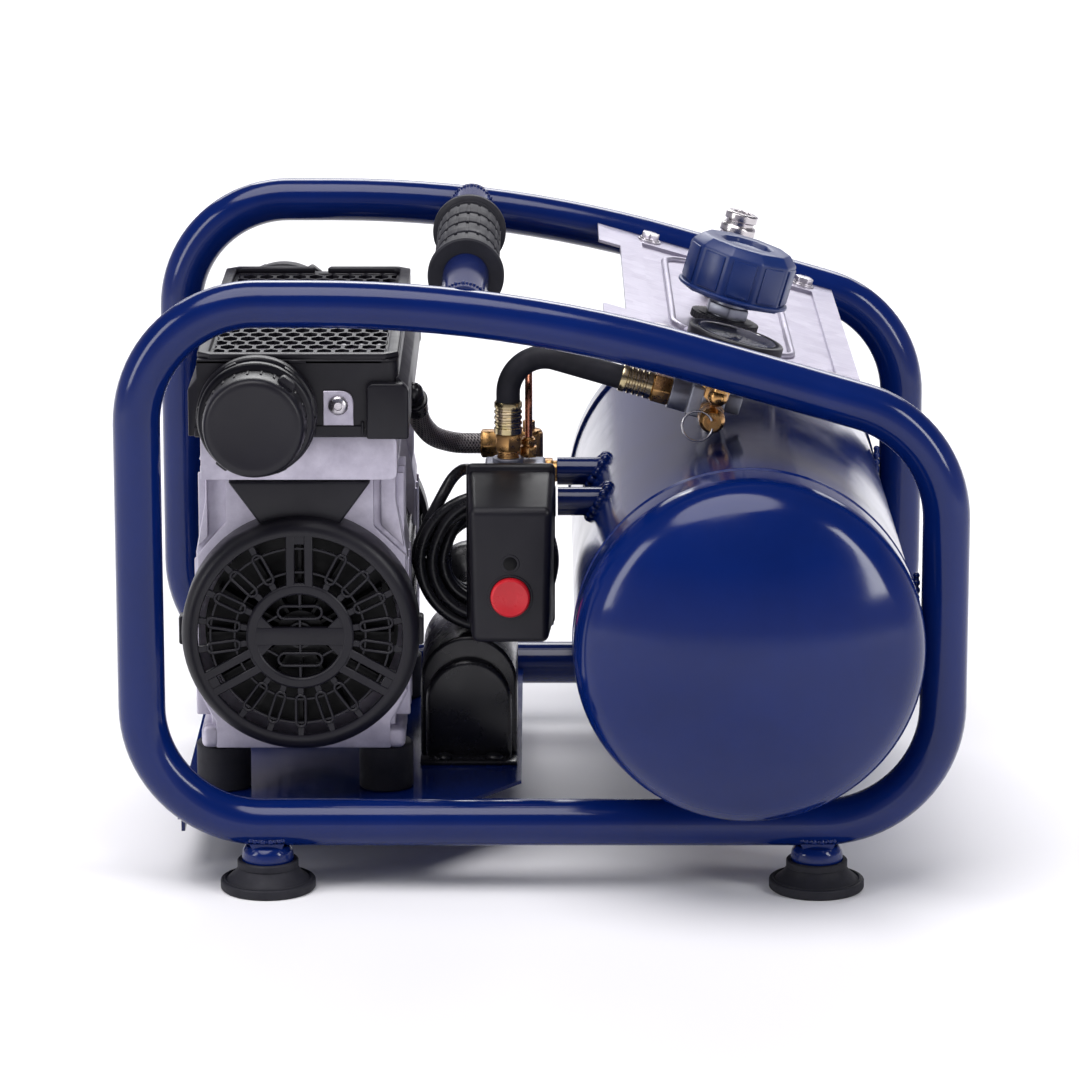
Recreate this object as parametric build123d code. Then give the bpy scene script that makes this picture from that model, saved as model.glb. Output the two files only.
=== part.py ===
from build123d import *
import os
from math import atan, cos, pi, radians, sin, sqrt, tan

os.makedirs("parts", exist_ok=True)

# ---------------------------------------------------------------- driving dimensions, mm
# +X to the right of the switch side, +Y away from it, +Z up; the origin is on the floor
# under the middle of the frame.

# Tubular frame
TUBE_R = 12.5
TUBE_WALL = 1.5
LOOP_Y = 167.0
LOOP_HALF_W = 213.0
LOOP_Z_LOW = 36.5
LOOP_Z_TOP = 318.0
KNEE_X = -20.0
KNEE_R = 717.0
SLOPE = 16.2
BEND_R = 64.0
SLOPE_TAN = tan(radians(SLOPE))

# Carrying handle
HANDLE_X = -41.4
HANDLE_Z = 315.0
GRIP_Y0, GRIP_Y1 = -70.0, 78.0
GRIP_R = 17.0
GRIP_FLANGE_R = 20.8
GRIP_FLANGE_T = 6.0

# Feet
FOOT_X = 147.0
FOOT_R = 25.5
FOOT_RIM_T = 5.5
FOOT_NECK_R = 15.5
FOOT_TOP_Z = 16.0
CUP_R = 14.0

# Base plate under the pump
PLATE_X0, PLATE_X1 = -196.0, -11.5
PLATE_Y = 154.0
PLATE_Z0, PLATE_Z1 = 34.0, 36.0
PLATE_CUT_X, PLATE_CUT_Y = 51.0, 69.0
PLATE_FLANGE_Z = 20.0

# Air tank
TANK_X, TANK_Z = 108.2, 141.6
TANK_R = 91.2
HEAD_R = 92.2
TANK_WALL = 2.5
HEAD_Y = 205.0
SKIRT = 22.0
CROWN_R = 148.0
KNUCKLE_R = 28.5
BUNG_Z = 190.0
BUNG_FRONT_Y, BUNG_REAR_Y = -69.0, 7.0
BUNG_R = 7.8

# Control panel: a sheet between the top runs, in its own tilted frame, whose local x runs
# down the slope, local y along the part's Y and local z out of the sheet
PANEL_ORIGIN = (98.5, 0.0, 287.0)
PANEL_T = 1.5
PANEL_A0, PANEL_A1 = -55.7, 74.5
PANEL_EAR_A = -68.5
PANEL_Y = 154.3
PANEL_EAR_Y = 98.0
PAN_MARGIN = 12.0
PAN_DEPTH = 2.0

# Regulator, gauge and coupler on the panel
REG_Y = -59.0
KNOB_H0, KNOB_H1 = 17.0, 46.0
KNOB_FLANGE_R = 31.0
KNOB_R = 29.0
NECK_R = 9.0
GAUGE_A, GAUGE_Y = 3.0, -122.0
GAUGE_R = 26.0
COUPLER_Y = 25.0
COUPLER_TOP = 49.0
SLEEVE_R = 10.3
OUTLET_R = 5.0
OUTLET_DEPTH = 20.0
MANIFOLD_H = -45.0
MANIFOLD_Y = -70.0
VALVE_A, VALVE_H = 5.0, -44.0

# Delivery hose: where its nut meets the check valve
DELIVERY_END = (-22.0, 7.0, 206.0)

# Pressure switch
SW_X0, SW_X1 = -40.2, 5.8
SW_Y0, SW_Y1 = -128.0, -82.0
SW_Z0, SW_Z1 = 127.0, 198.7
SW_BACK_Z = 211.5
SW_BASE_Y1 = -56.0
BUTTON_X, BUTTON_Z = -17.2, 150.7
BUTTON_R = 10.7
BUTTON_PROUD = 4.0
HOSE_X = -18.6
HOSE_R = 6.5

# Pump, symmetrical about y = 0
PUMP_X, PUMP_Z = -130.0, 131.0
COVER_R = 64.0
COVER_Y0, COVER_Y1 = 137.0, 112.0
CASE_Y1 = 62.0
CASE_TOP = 215.0
HEAD_TOP = 239.0
SHROUD_TOP = 284.5
SHROUD_HALF_W = 53.6
SHROUD_Y = 132.0
CYL_Y = 87.0
CYL_R = 22.5
SHAFT_R = 6.0
FILTER_X, FILTER_Z = -151.3, 253.0
MOUNT_DX, MOUNT_Y = 44.5, 95.0
MOUNT_R = 15.0
FOOT_Z = 62.0

# Capacitor cover beside the pump
CAP_X = -41.0
CAP_R = 27.0
CAP_Z = 78.0
CAP_Y0, CAP_Y1 = -36.0, 56.0

# Mains lead
CORD_R = 3.25
COIL_X, COIL_Y, COIL_Z = -31.0, -26.0, 146.8
COIL_R_IN, COIL_R_OUT = 21.0, 41.0
COIL_HALF_T = 10.0
PLUG_X, PLUG_Z = -41.0, 125.0


# ---------------------------------------------------------------- helpers

def write(node, shape):
    export_step(shape, f"parts/{node}.step")


def group(solids):
    return Compound(children=list(solids))


def block(x0, x1, y0, y1, z0, z1):
    size = (x1 - x0, y1 - y0, z1 - z0)
    return Pos((x0 + x1) / 2, (y0 + y1) / 2, (z0 + z1) / 2) * Box(*size)


def rod(radius, length, at, axis):
    """Cylinder that starts at a point and runs along an axis."""
    align = (Align.CENTER, Align.CENTER, Align.MIN)
    return Plane(origin=at, z_dir=axis) * Cylinder(radius, length, align=align)


def taper(r0, r1, length, at, axis):
    align = (Align.CENTER, Align.CENTER, Align.MIN)
    return Plane(origin=at, z_dir=axis) * Cone(r0, r1, length, align=align)


def pipe(r_out, r_in, length, at, axis):
    return rod(r_out, length, at, axis) - rod(r_in, length, at, axis)


def hexagon(across_flats, length, at, axis):
    sketch = RegularPolygon(across_flats / 2, 6, major_radius=False)
    return Plane(origin=at, z_dir=axis) * extrude(sketch, length)


def along(points, radii, r_out, r_in=0.0, closed=False):
    """Round section swept along straight runs joined by tangent arcs."""
    path = FilletPolyline(*points, radius=radii, close=closed)
    section = Circle(r_out)
    if r_in:
        section -= Circle(r_in)
    return sweep(Plane(origin=path @ 0, z_dir=path % 0) * section, path=path), path.length


def corner_radii(points):
    """The largest arc that the two runs at each corner leave room for."""
    radii = []
    for a, b, c in zip(points, points[1:], points[2:]):
        run_in, run_out = Vector(*b) - Vector(*a), Vector(*c) - Vector(*b)
        half_turn = radians(run_in.get_angle(run_out)) / 2
        radii.append(0.45 * min(run_in.length, run_out.length) / tan(half_turn))
    return radii


# ---------------------------------------------------------------- frame loops and handle

def loop_points(y):
    drop_x = LOOP_HALF_W - KNEE_X
    return [
        (-LOOP_HALF_W, y, LOOP_Z_LOW),
        (LOOP_HALF_W, y, LOOP_Z_LOW),
        (LOOP_HALF_W, y, LOOP_Z_TOP - drop_x * SLOPE_TAN),
        (KNEE_X, y, LOOP_Z_TOP),
        (-LOOP_HALF_W, y, LOOP_Z_TOP),
    ]


LOOP_RADII = [BEND_R, BEND_R, BEND_R, KNEE_R, BEND_R]


def frame_loop(y, r_in=TUBE_R - TUBE_WALL):
    return along(loop_points(y), LOOP_RADII, TUBE_R, r_in, closed=True)[0]


def make_frame():
    loop_cores = [frame_loop(y, 0.0) for y in (-LOOP_Y, LOOP_Y)]
    write("front_loop", frame_loop(-LOOP_Y))
    write("rear_loop", frame_loop(LOOP_Y))

    start = (HANDLE_X, -LOOP_Y, HANDLE_Z)
    handle = pipe(TUBE_R, TUBE_R - TUBE_WALL, 2 * LOOP_Y, start, (0, 1, 0))
    for core in loop_cores:
        handle -= core
    # the loops leave a scrap of tube beyond each cope
    write("handle_tube", max(handle.solids(), key=lambda s: s.volume))

    grip_l = GRIP_Y1 - GRIP_Y0
    grip = rod(GRIP_R, grip_l, (HANDLE_X, GRIP_Y0, HANDLE_Z), (0, 1, 0))
    for y in (GRIP_Y0, GRIP_Y1 - GRIP_FLANGE_T):
        grip += rod(GRIP_FLANGE_R, GRIP_FLANGE_T, (HANDLE_X, y, HANDLE_Z), (0, 1, 0))
    grip -= rod(TUBE_R, grip_l, (HANDLE_X, GRIP_Y0, HANDLE_Z), (0, 1, 0))
    write("handle_grip", grip)

    cups, feet, bolts = [], [], []
    for x in (-FOOT_X, FOOT_X):
        for y, core in zip((-LOOP_Y, LOOP_Y), loop_cores):
            cup_h = LOOP_Z_LOW - 6 - FOOT_TOP_Z
            cups.append(rod(CUP_R, cup_h, (x, y, FOOT_TOP_Z), (0, 0, 1)) - core
                        - rod(3.2, cup_h, (x, y, FOOT_TOP_Z), (0, 0, 1)))
            foot = rod(FOOT_R, FOOT_RIM_T, (x, y, 0), (0, 0, 1))
            foot += taper(FOOT_R - 3, FOOT_NECK_R, 7, (x, y, FOOT_RIM_T), (0, 0, 1))
            foot += rod(FOOT_NECK_R, FOOT_TOP_Z - 12.5, (x, y, 12.5), (0, 0, 1))
            foot -= rod(7, 8, (x, y, 0), (0, 0, 1))
            foot -= rod(3.2, FOOT_TOP_Z, (x, y, 0), (0, 0, 1))
            feet.append(foot)
            bolt = hexagon(10, 4, (x, y, 4), (0, 0, 1))
            bolts.append(bolt + rod(3, 15, (x, y, 8), (0, 0, 1)))
    write("foot_cups", group(cups))
    write("rubber_feet", group(feet))
    write("foot_bolts", group(bolts))


# ---------------------------------------------------------------- base plate

def make_base():
    cut_x, cut_y = PLATE_X1 - PLATE_CUT_X, -PLATE_Y + PLATE_CUT_Y
    outline = Polyline(
        (PLATE_X0, -PLATE_Y), (cut_x, -PLATE_Y), (PLATE_X1, cut_y),
        (PLATE_X1, PLATE_Y), (PLATE_X0, PLATE_Y), close=True)
    plate = Pos(0, 0, PLATE_Z0) * extrude(make_face(outline), PLATE_Z1 - PLATE_Z0)
    plate += block(PLATE_X0, PLATE_X0 + 2, -PLATE_Y + 25, PLATE_Y - 25, PLATE_FLANGE_Z, PLATE_Z0)
    for dx in (-MOUNT_DX, MOUNT_DX):
        for y in (-MOUNT_Y, MOUNT_Y):
            plate -= rod(3.2, 10, (PUMP_X + dx, y, PLATE_Z0 - 4), (0, 0, 1))
    for y in (-LOOP_Y, LOOP_Y):
        plate -= frame_loop(y, 0.0)
    write("base_plate", plate)


# ---------------------------------------------------------------- air tank

def head_face(wall_offset):
    """Half profile of a dished head, in (radius, distance outwards) with z up the axis."""
    side = HEAD_R - wall_offset
    knuckle_x = HEAD_R - KNUCKLE_R
    crown_z = -sqrt((CROWN_R - KNUCKLE_R) ** 2 - knuckle_x ** 2)
    crown, knuckle = CROWN_R - wall_offset, KNUCKLE_R - wall_offset
    lean = atan(knuckle_x / -crown_z)
    meet = (crown * sin(lean), crown_z + crown * cos(lean))
    mid = (crown * sin(lean / 2), crown_z + crown * cos(lean / 2))
    turn = (lean + pi / 2) / 2
    shoulder = (knuckle_x + knuckle * sin(turn), knuckle * cos(turn))
    edges = [
        Line((0, -SKIRT), (side, -SKIRT)),
        Line((side, -SKIRT), (side, 0)),
        ThreePointArc((side, 0), shoulder, meet),
        ThreePointArc(meet, mid, (0, crown_z + crown)),
        Line((0, crown_z + crown), (0, -SKIRT)),
    ]
    return make_face(Wire(edges))


def tank_head(side):
    outer = revolve(Plane.XZ * head_face(0.0), axis=Axis.Z)
    inner = revolve(Plane.XZ * head_face(TANK_WALL), axis=Axis.Z)
    dish = outer - inner
    dish -= Pos(0, 0, -SKIRT) * Cylinder(TANK_R, 16, align=(Align.CENTER, Align.CENTER, Align.MIN))
    frame = Plane(origin=(TANK_X, side * HEAD_Y, TANK_Z), z_dir=(0, side, 0))
    return frame * dish


def make_tank():
    shell_half = HEAD_Y - SKIRT + 15
    at = (TANK_X, -shell_half, TANK_Z)
    shell = pipe(TANK_R, TANK_R - TANK_WALL, 2 * shell_half, at, (0, 1, 0))
    core = rod(TANK_R, 2 * shell_half, at, (0, 1, 0))

    bungs = []
    bung_x = SW_X1 + 2.6
    for y in (BUNG_FRONT_Y, BUNG_REAR_Y):
        start = (bung_x, y, BUNG_Z)
        bungs.append(pipe(BUNG_R, 4.5, 40, start, (1, 0, 0)) - core)
    drain_at = (TANK_X, -120.0, TANK_Z - TANK_R - 7)
    bungs.append(pipe(9, 5.0, 14, drain_at, (0, 0, 1)) - core)
    for y, z in ((BUNG_FRONT_Y, BUNG_Z), (BUNG_REAR_Y, BUNG_Z)):
        shell -= rod(4.5, 60, (bung_x, y, z), (1, 0, 0))
    shell -= rod(5.0, 20, drain_at, (0, 0, 1))
    write("tank_shell", shell)
    write("tank_heads", group(tank_head(side) for side in (-1, 1)))
    write("tank_bungs", group(b.solids().sort_by(SortBy.VOLUME)[-1] for b in bungs))

    # drain cock under the shell: a body screwed into the bung and a turning knob
    x, y, top = TANK_X, -120.0, TANK_Z - TANK_R - 7
    body = rod(4.9, 8, (x, y, top), (0, 0, 1)) + hexagon(14, 5, (x, y, top - 5), (0, 0, 1))
    body += rod(5.5, 9, (x, y, top - 14), (0, 0, 1))
    body += rod(5.5, 14, (x, y + 1, top - 9.5), (0, 1, 0))
    body -= rod(2.5, 30, (x, y, top - 14), (0, 0, 1))
    body -= rod(2.55, 14, (x, y + 4, top - 9.5), (0, 1, 0))
    write("drain_cock_body", body)
    knob = rod(2.5, 10, (x, y + 6, top - 9.5), (0, 1, 0))
    knob += rod(7.5, 5, (x, y + 15.3, top - 9.5), (0, 1, 0))
    knob += block(x - 1.5, x + 1.5, y + 20.3, y + 27, top - 17, top - 2)
    write("drain_cock_knob", knob)


# ---------------------------------------------------------------- control panel

PANEL = Plane(origin=PANEL_ORIGIN,
              x_dir=(cos(radians(SLOPE)), 0, -sin(radians(SLOPE))),
              z_dir=(sin(radians(SLOPE)), 0, cos(radians(SLOPE))))


def panel_point(a, y, h):
    point = PANEL.from_local_coords((a, y, h))
    return (point.X, point.Y, point.Z)


def make_panel():
    plate = block(PANEL_A0, PANEL_A1, -PANEL_Y, PANEL_Y, -PANEL_T, 0)
    for side in (-1, 1):
        y0, y1 = sorted((side * PANEL_EAR_Y, side * PANEL_Y))
        plate += block(PANEL_EAR_A, PANEL_A0, y0, y1, -PANEL_T, 0)
    pan = (PANEL_A0 + PAN_MARGIN, PANEL_A1 - PAN_MARGIN, -PANEL_Y + 2 * PAN_MARGIN,
           PANEL_Y - 2 * PAN_MARGIN)
    plate += block(*pan, -PANEL_T - PAN_DEPTH, -PANEL_T)
    t = PANEL_T
    plate -= block(pan[0] + t, pan[1] - t, pan[2] + t, pan[3] - t, -PAN_DEPTH, 1)
    for y, r in ((REG_Y, NECK_R + 0.5), (COUPLER_Y, 8.5)):
        plate -= rod(r, 8, (0, y, -6), (0, 0, 1))
    plate -= rod(GAUGE_R - 3, 8, (GAUGE_A, GAUGE_Y, -6), (0, 0, 1))
    bolt_spots = [(a, y) for a in (-37.5, 56.0) for y in (-143.0, 143.0)]
    for a, y in bolt_spots:
        plate -= rod(3.1, 8, (a, y, -6), (0, 0, 1))
    write("control_panel", PANEL * plate)

    # tabs welded inside the top runs, each with a bolt through the sheet
    tabs, bolts = [], []
    for a, y in bolt_spots:
        side = 1 if y > 0 else -1
        y0, y1 = sorted((side * 134.0, side * 162.0))
        tab = PANEL * (block(a - 11, a + 11, y0, y1, -PANEL_T - 3, -PANEL_T)
                       - rod(3.0, 8, (a, y, -6), (0, 0, 1)))
        tab -= frame_loop(side * LOOP_Y, 0.0)
        tabs.append(tab.solids().sort_by(SortBy.VOLUME)[-1])
        bolt = hexagon(10, 4.2, (a, y, 0.8), (0, 0, 1)) + rod(7, 0.8, (a, y, 0), (0, 0, 1))
        bolt += rod(3.0, 12, (a, y, -12), (0, 0, 1))
        bolts.append(PANEL * bolt)
    write("panel_tabs", group(tabs))
    write("panel_bolts", group(bolts))


def make_regulator():
    up, right = (0, 0, 1), (1, 0, 0)
    body = rod(16, 30, (0, REG_Y, -34), up) + rod(NECK_R, 18.5, (0, REG_Y, -4), up)
    body += hexagon(22, 6, (0, REG_Y, 5), up)
    body += block(-8, 12, MANIFOLD_Y - 12, REG_Y + 12, -50, -33)
    body += block(12, 21, MANIFOLD_Y - 5, MANIFOLD_Y + 5, -44, -34)
    body += rod(9.0, 11, (-18, MANIFOLD_Y, MANIFOLD_H + 3), right)
    body += rod(8.5, 12, (0, REG_Y + 10, MANIFOLD_H + 5), (0, 1, 0))
    body -= rod(4.05, 45, (0, REG_Y, -30), up)
    body -= rod(6, 8, (-18, MANIFOLD_Y, MANIFOLD_H + 3), right)
    body -= rod(5, 8, (VALVE_A, MANIFOLD_Y - 12, VALVE_H), (0, 1, 0))
    write("regulator_body", PANEL * body)
    write("regulator_ring_nut", PANEL * pipe(19, NECK_R, 4.4, (0, REG_Y, 0.0), up))

    facets = 10
    knob = Pos(0, REG_Y, KNOB_H0) * extrude(RegularPolygon(KNOB_R, facets), KNOB_H1 - KNOB_H0 - 3)
    crown = Pos(0, REG_Y, KNOB_H1 - 3) * extrude(RegularPolygon(KNOB_R, facets), 3, taper=45)
    knob += crown
    knob += rod(KNOB_FLANGE_R, 3, (0, REG_Y, KNOB_H0), up)
    knob -= rod(13, 4, (0, REG_Y, KNOB_H1 - 2.5), up)
    knob -= rod(22, 20, (0, REG_Y, KNOB_H0 - 1), up)
    knob += rod(4.0, KNOB_H1 - 6, (0, REG_Y, 3), up)
    write("regulator_knob", PANEL * knob)


def make_gauge():
    up, at = (0, 0, 1), (GAUGE_A, GAUGE_Y)
    case = rod(GAUGE_R - 3.3, 15, (*at, -14), up)
    case += rod(GAUGE_R, 7.5, (*at, 0.1), up)
    case -= rod(GAUGE_R - 4.5, 30, (*at, -11), up)
    case += rod(5, 8, (*at, -22), up) - rod(1.5, 8, (*at, -22), up)
    write("gauge_case", PANEL * case)
    dial = rod(GAUGE_R - 4.5, 1, (*at, 1.0), up) - rod(1.05, 2, (*at, 0), up)
    write("gauge_dial", PANEL * dial)
    write("gauge_lens", PANEL * rod(GAUGE_R - 4.5, 1.4, (*at, 6.0), up))
    needle = rod(1.0, 4.5, (*at, 0.2), up) + rod(2.2, 1, (*at, 3.0), up)
    needle += Pos(*at, 3.5) * Rot(0, 0, 225) * Pos(6, 0, 0) * Box(20, 1.2, 0.6)
    write("gauge_needle", PANEL * needle)
    # elbow that feeds the gauge from the regulator
    feed = rod(4.5, 6.5, (*at, -28.5), up) + rod(4.5, 52, (*at, -28), (0, 1, 0))
    feed += Pos(*at, -28) * Sphere(6.2) + hexagon(13, 8, (GAUGE_A, GAUGE_Y + 8, -28), (0, 1, 0))
    feed -= rod(16, 50, (0, REG_Y, -50), up)
    write("gauge_elbow", PANEL * feed)


def make_coupler():
    up, y = (0, 0, 1), COUPLER_Y
    start = REG_Y + 22
    body = rod(7.4, 58, (0, y, MANIFOLD_H - 1), up) + hexagon(19, 9, (0, y, 3), up)
    body += hexagon(19, 8, (0, y, -14), up)
    body += rod(8.0, COUPLER_TOP - 12, (0, y, 12), up)
    body += rod(9.2, 5, (0, y, COUPLER_TOP - 5), up)
    body += rod(6.6, y - start, (0, start, MANIFOLD_H + 5), (0, 1, 0))
    body -= rod(OUTLET_R, OUTLET_DEPTH, (0, y, COUPLER_TOP - OUTLET_DEPTH), up)
    write("coupler_body", PANEL * body)
    sleeve = pipe(SLEEVE_R, 8.06, 22, (0, y, 20), up)
    write("coupler_sleeve", PANEL * sleeve)


def make_safety_valve():
    forward = (0, -1, 0)
    face = MANIFOLD_Y - 12

    def at(y):
        return (VALVE_A, y, VALVE_H)

    body = rod(5, 14, at(face + 8), forward) + hexagon(13, 6, at(face - 4), forward)
    body += rod(7.0, 20, at(face - 10), forward)
    body -= rod(2.6, 40, at(face), forward)
    write("safety_valve_body", PANEL * body)
    eye_y = face - 35.5
    stem = rod(2.5, 30, at(face - 6), forward) + rod(4.6, 2, at(face - 30.3), forward)
    stem += rod(2.0, 3.5, at(face - 34), forward)
    eye = panel_point(VALVE_A, eye_y, VALVE_H)
    ring_r, wire_r = 8.2, 0.6
    droop = radians(7)
    out = (-cos(droop), 0, -sin(droop))
    hole = (sin(droop), 0, -cos(droop))
    centre = tuple(eye[i] + ring_r * out[i] for i in range(3))
    start = tuple(eye[i] - 6 * hole[i] for i in range(3))
    write("safety_valve_stem", PANEL * stem - rod(0.95, 12, start, hole))
    ring = Plane(origin=centre, z_dir=(0, 1, 0)) * Torus(ring_r, wire_r)
    write("safety_valve_ring", ring)


# ---------------------------------------------------------------- hose from switch to regulator

def make_supply_hose():
    port_h = MANIFOLD_H + 3
    side_end = panel_point(-46, MANIFOLD_Y, port_h)
    reach = (side_end[0] - HOSE_X) / cos(radians(SLOPE))
    corner = (HOSE_X, MANIFOLD_Y, side_end[2] + reach * sin(radians(SLOPE)))
    low = (HOSE_X, MANIFOLD_Y, 246.0)
    hose, _ = along([low, corner, side_end], [20.0], HOSE_R, 3.5)
    write("supply_hose", hose)

    up, right = (0, 0, 1), (1, 0, 0)
    ferrules = [
        pipe(7.6, HOSE_R, 16, (HOSE_X, MANIFOLD_Y, 230), up)
        + pipe(7.6, 3, 2, (HOSE_X, MANIFOLD_Y, 228), up),
        PANEL * (pipe(7.6, HOSE_R, 16, (-46, MANIFOLD_Y, port_h), right)
                 + pipe(7.6, 3, 2, (-30, MANIFOLD_Y, port_h), right)),
    ]
    write("hose_ferrules", group(ferrules))
    switch_nut = hexagon(15, 8, (HOSE_X, MANIFOLD_Y, 220), up)
    switch_nut += rod(6, 6, (HOSE_X, MANIFOLD_Y, 214), up)
    manifold_nut = rod(6, 8, (-18, MANIFOLD_Y, port_h), right)
    manifold_nut += hexagon(15, 10, (-28, MANIFOLD_Y, port_h), right)
    delivery_nut = hexagon(15, 12, DELIVERY_END, (-1, 0, 0))
    delivery_nut += rod(4.5, 4, (DELIVERY_END[0] + 3.6, *DELIVERY_END[1:]), (-1, 0, 0))
    nuts = [
        switch_nut - rod(3, 20, (HOSE_X, MANIFOLD_Y, 212), up),
        PANEL * (manifold_nut - rod(3, 24, (-32, MANIFOLD_Y, port_h), right)),
        delivery_nut - rod(2.5, 30, (DELIVERY_END[0] + 10, *DELIVERY_END[1:]), (-1, 0, 0)),
    ]
    write("hose_nuts", group(nuts))


# ---------------------------------------------------------------- pressure switch

def make_switch():
    profile = Polyline((SW_Y0, SW_Z0), (SW_Y1, SW_Z0), (SW_Y1, SW_BACK_Z), (SW_Y0, SW_Z1),
                       close=True)
    cover = Pos(SW_X0, 0, 0) * extrude(Plane.YZ * make_face(profile), SW_X1 - SW_X0)
    cover = fillet(cover.edges().filter_by(GeomType.LINE).group_by(Axis.Y)[0], 4)
    hollow = block(SW_X0 + 2.5, SW_X1 - 2.5, SW_Y0 + 3, SW_Y1 + 1, SW_Z0 + 2.5, SW_Z1 - 4)
    cover -= hollow
    forward = (0, -1, 0)
    cover -= rod(BUTTON_R + 0.05, 20, (BUTTON_X, SW_Y0 + 10, BUTTON_Z), forward)
    cover -= rod(4, 8, (BUTTON_X, SW_Y0 + 4, BUTTON_Z + 18.4), forward)
    write("switch_cover", cover)

    button = rod(BUTTON_R, 6 + BUTTON_PROUD, (BUTTON_X, SW_Y0 + 6, BUTTON_Z), forward)
    button += rod(4, 20, (BUTTON_X, SW_Y0 + 25, BUTTON_Z), forward)
    write("switch_button", button)

    base = block(SW_X0 - 0.5, SW_X1 + 2.4, SW_Y1 + 0.1, SW_Y1 + 10, SW_Z0 - 5, SW_BACK_Z + 1.5)
    base += block(SW_X0 + 5, SW_X1 + 2.4, SW_Y1 + 0.1, SW_BASE_Y1, 165, 214)
    base += block(SW_X0 + 5, -15, SW_Y1 + 10, SW_BASE_Y1, SW_Z0 + 4, 165)
    base -= rod(3, 30, (HOSE_X, MANIFOLD_Y, 186), (0, 0, 1))
    base -= rod(3, 40, (HOSE_X, BUNG_FRONT_Y, BUNG_Z), (1, 0, 0))
    write("switch_base", base)

    # unloader: a small valve on the base and a thin copper tube over to the check valve
    x, y = -7.5, -64.0
    fitting = hexagon(9, 6, (x, y, 214), (0, 0, 1)) + rod(3.2, 5, (x, y, 220), (0, 0, 1))
    write("unloader_valve", fitting - rod(1.2, 20, (x, y, 212), (0, 0, 1)))
    tube_points = [(x, y, 225.1), (x, y + 1, 250), (x, -48, 262), (x, -16, 256),
                   (x, 4, 242), (x, BUNG_REAR_Y, 219)]
    tube, length = along(tube_points, corner_radii(tube_points), 2.0, 1.2)
    print("unloader tube", round(length, 1), [round(r, 1) for r in corner_radii(tube_points)])
    write("unloader_tube", tube)


# ---------------------------------------------------------------- check valve and delivery hose

def make_delivery():
    up, left = (0, 0, 1), (-1, 0, 0)
    x, y, hose_z = -7.5, BUNG_REAR_Y, DELIVERY_END[2]
    valve = rod(8, 32, (x, y, 182), up) + hexagon(17, 8, (x, y, 180), up)
    valve += rod(3.5, 5, (x, y, 214), up)
    valve += rod(6, SW_X1 + 2.6 - x, (x, y, BUNG_Z), (1, 0, 0))
    valve += rod(6, x - DELIVERY_END[0], (x, y, hose_z), left)
    valve -= rod(2.0, 30, (x, y, 190), up)
    valve -= rod(4.5, 4, (DELIVERY_END[0] + 3.9, y, hose_z), left)
    write("check_valve", valve)

    points = [(DELIVERY_END[0] - 12, y, hose_z), (-48, y, hose_z), (-61, -5, 212),
              (-68, -20, 224), (-70, -36, 239)]
    radii = corner_radii(points)
    hose, length = along(points, radii, 5.8, 4.0)
    print("delivery hose", round(length, 1), [round(r, 1) for r in radii])
    write("delivery_hose", hose)


# ---------------------------------------------------------------- pump

def crankcase(side):
    half = [(0, CASE_TOP - PUMP_Z), (51.5, CASE_TOP - PUMP_Z), (51.5, 70), (57, 40), (57, -38),
            (50, -52), (55, -57), (55, FOOT_Z - PUMP_Z), (0, FOOT_Z - PUMP_Z)]
    outline = half + [(-x, z) for x, z in half[-2:0:-1]]
    depth = COVER_Y1 - CASE_Y1
    plane = Plane(origin=(PUMP_X, -CASE_Y1, PUMP_Z), x_dir=(1, 0, 0), z_dir=(0, -1, 0))
    case = plane * extrude(make_face(Polyline(*outline, close=True)), depth)
    at = (PUMP_X, -CASE_Y1, PUMP_Z)
    case -= rod(48, depth - 6, at, (0, -1, 0))
    case -= rod(13, depth + 1, at, (0, -1, 0))
    case -= rod(CYL_R + 2, 90, (PUMP_X, -CYL_Y, PUMP_Z), (0, 0, 1))
    for dx in (-MOUNT_DX, MOUNT_DX):
        case -= rod(3.2, 8, (PUMP_X + dx, -MOUNT_Y, FOOT_Z - 1), (0, 0, 1))
        case -= block(PUMP_X + dx - 7, PUMP_X + dx + 7, -MOUNT_Y - 7, -MOUNT_Y + 7, FOOT_Z + 6,
                      FOOT_Z + 14)
    return case if side < 0 else mirror(case, about=Plane.XZ)


def fan_cover(side):
    at = (PUMP_X, -COVER_Y1, PUMP_Z)
    depth = COVER_Y0 - COVER_Y1
    forward = (0, -1, 0)
    cover = rod(COVER_R, depth, at, forward)
    cover = fillet(cover.edges().group_by(Axis.Y)[0], 7)
    cover -= rod(COVER_R - 3, depth - 3, at, forward)
    cover -= pipe(55, 29, depth + 1, at, forward)
    cover -= rod(23, depth + 1, at, forward)
    face = COVER_Y0 - 3
    bars = [block(PUMP_X - 25, PUMP_X + 25, -COVER_Y0, -face, PUMP_Z - 5, PUMP_Z + 5)]
    for turn in (90, 210, 330):
        spoke = Pos(PUMP_X, -COVER_Y0 + 1.5, PUMP_Z) * Rot(0, -turn, 0) * Pos(42, 0, 0)
        bars.append(spoke * Box(30, 3, 11))
    for turn in range(0, 360, 20):
        rib = Pos(PUMP_X, -COVER_Y0 + 1.9, PUMP_Z) * Rot(0, -turn - 10, 0) * Pos(42, 0, 0)
        bars.append(rib * Box(29, 2.2, 1.8))
    cover += pipe(43, 41, 2, (PUMP_X, -face, PUMP_Z), forward)
    for bar in bars:
        cover += bar
    # duct that leads the cooling air up between cover and cylinder head
    duct = Polyline((-20.3, 59), (-38.4, CASE_TOP - PUMP_Z - 1), (38.4, CASE_TOP - PUMP_Z - 1),
                    (20.3, 59), close=True)
    plane = Plane(origin=at, x_dir=(1, 0, 0), z_dir=(0, -1, 0))
    cover += plane * extrude(make_face(duct), 14) - rod(COVER_R - 3, depth - 3, at, forward)
    return cover if side < 0 else mirror(cover, about=Plane.XZ)


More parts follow.
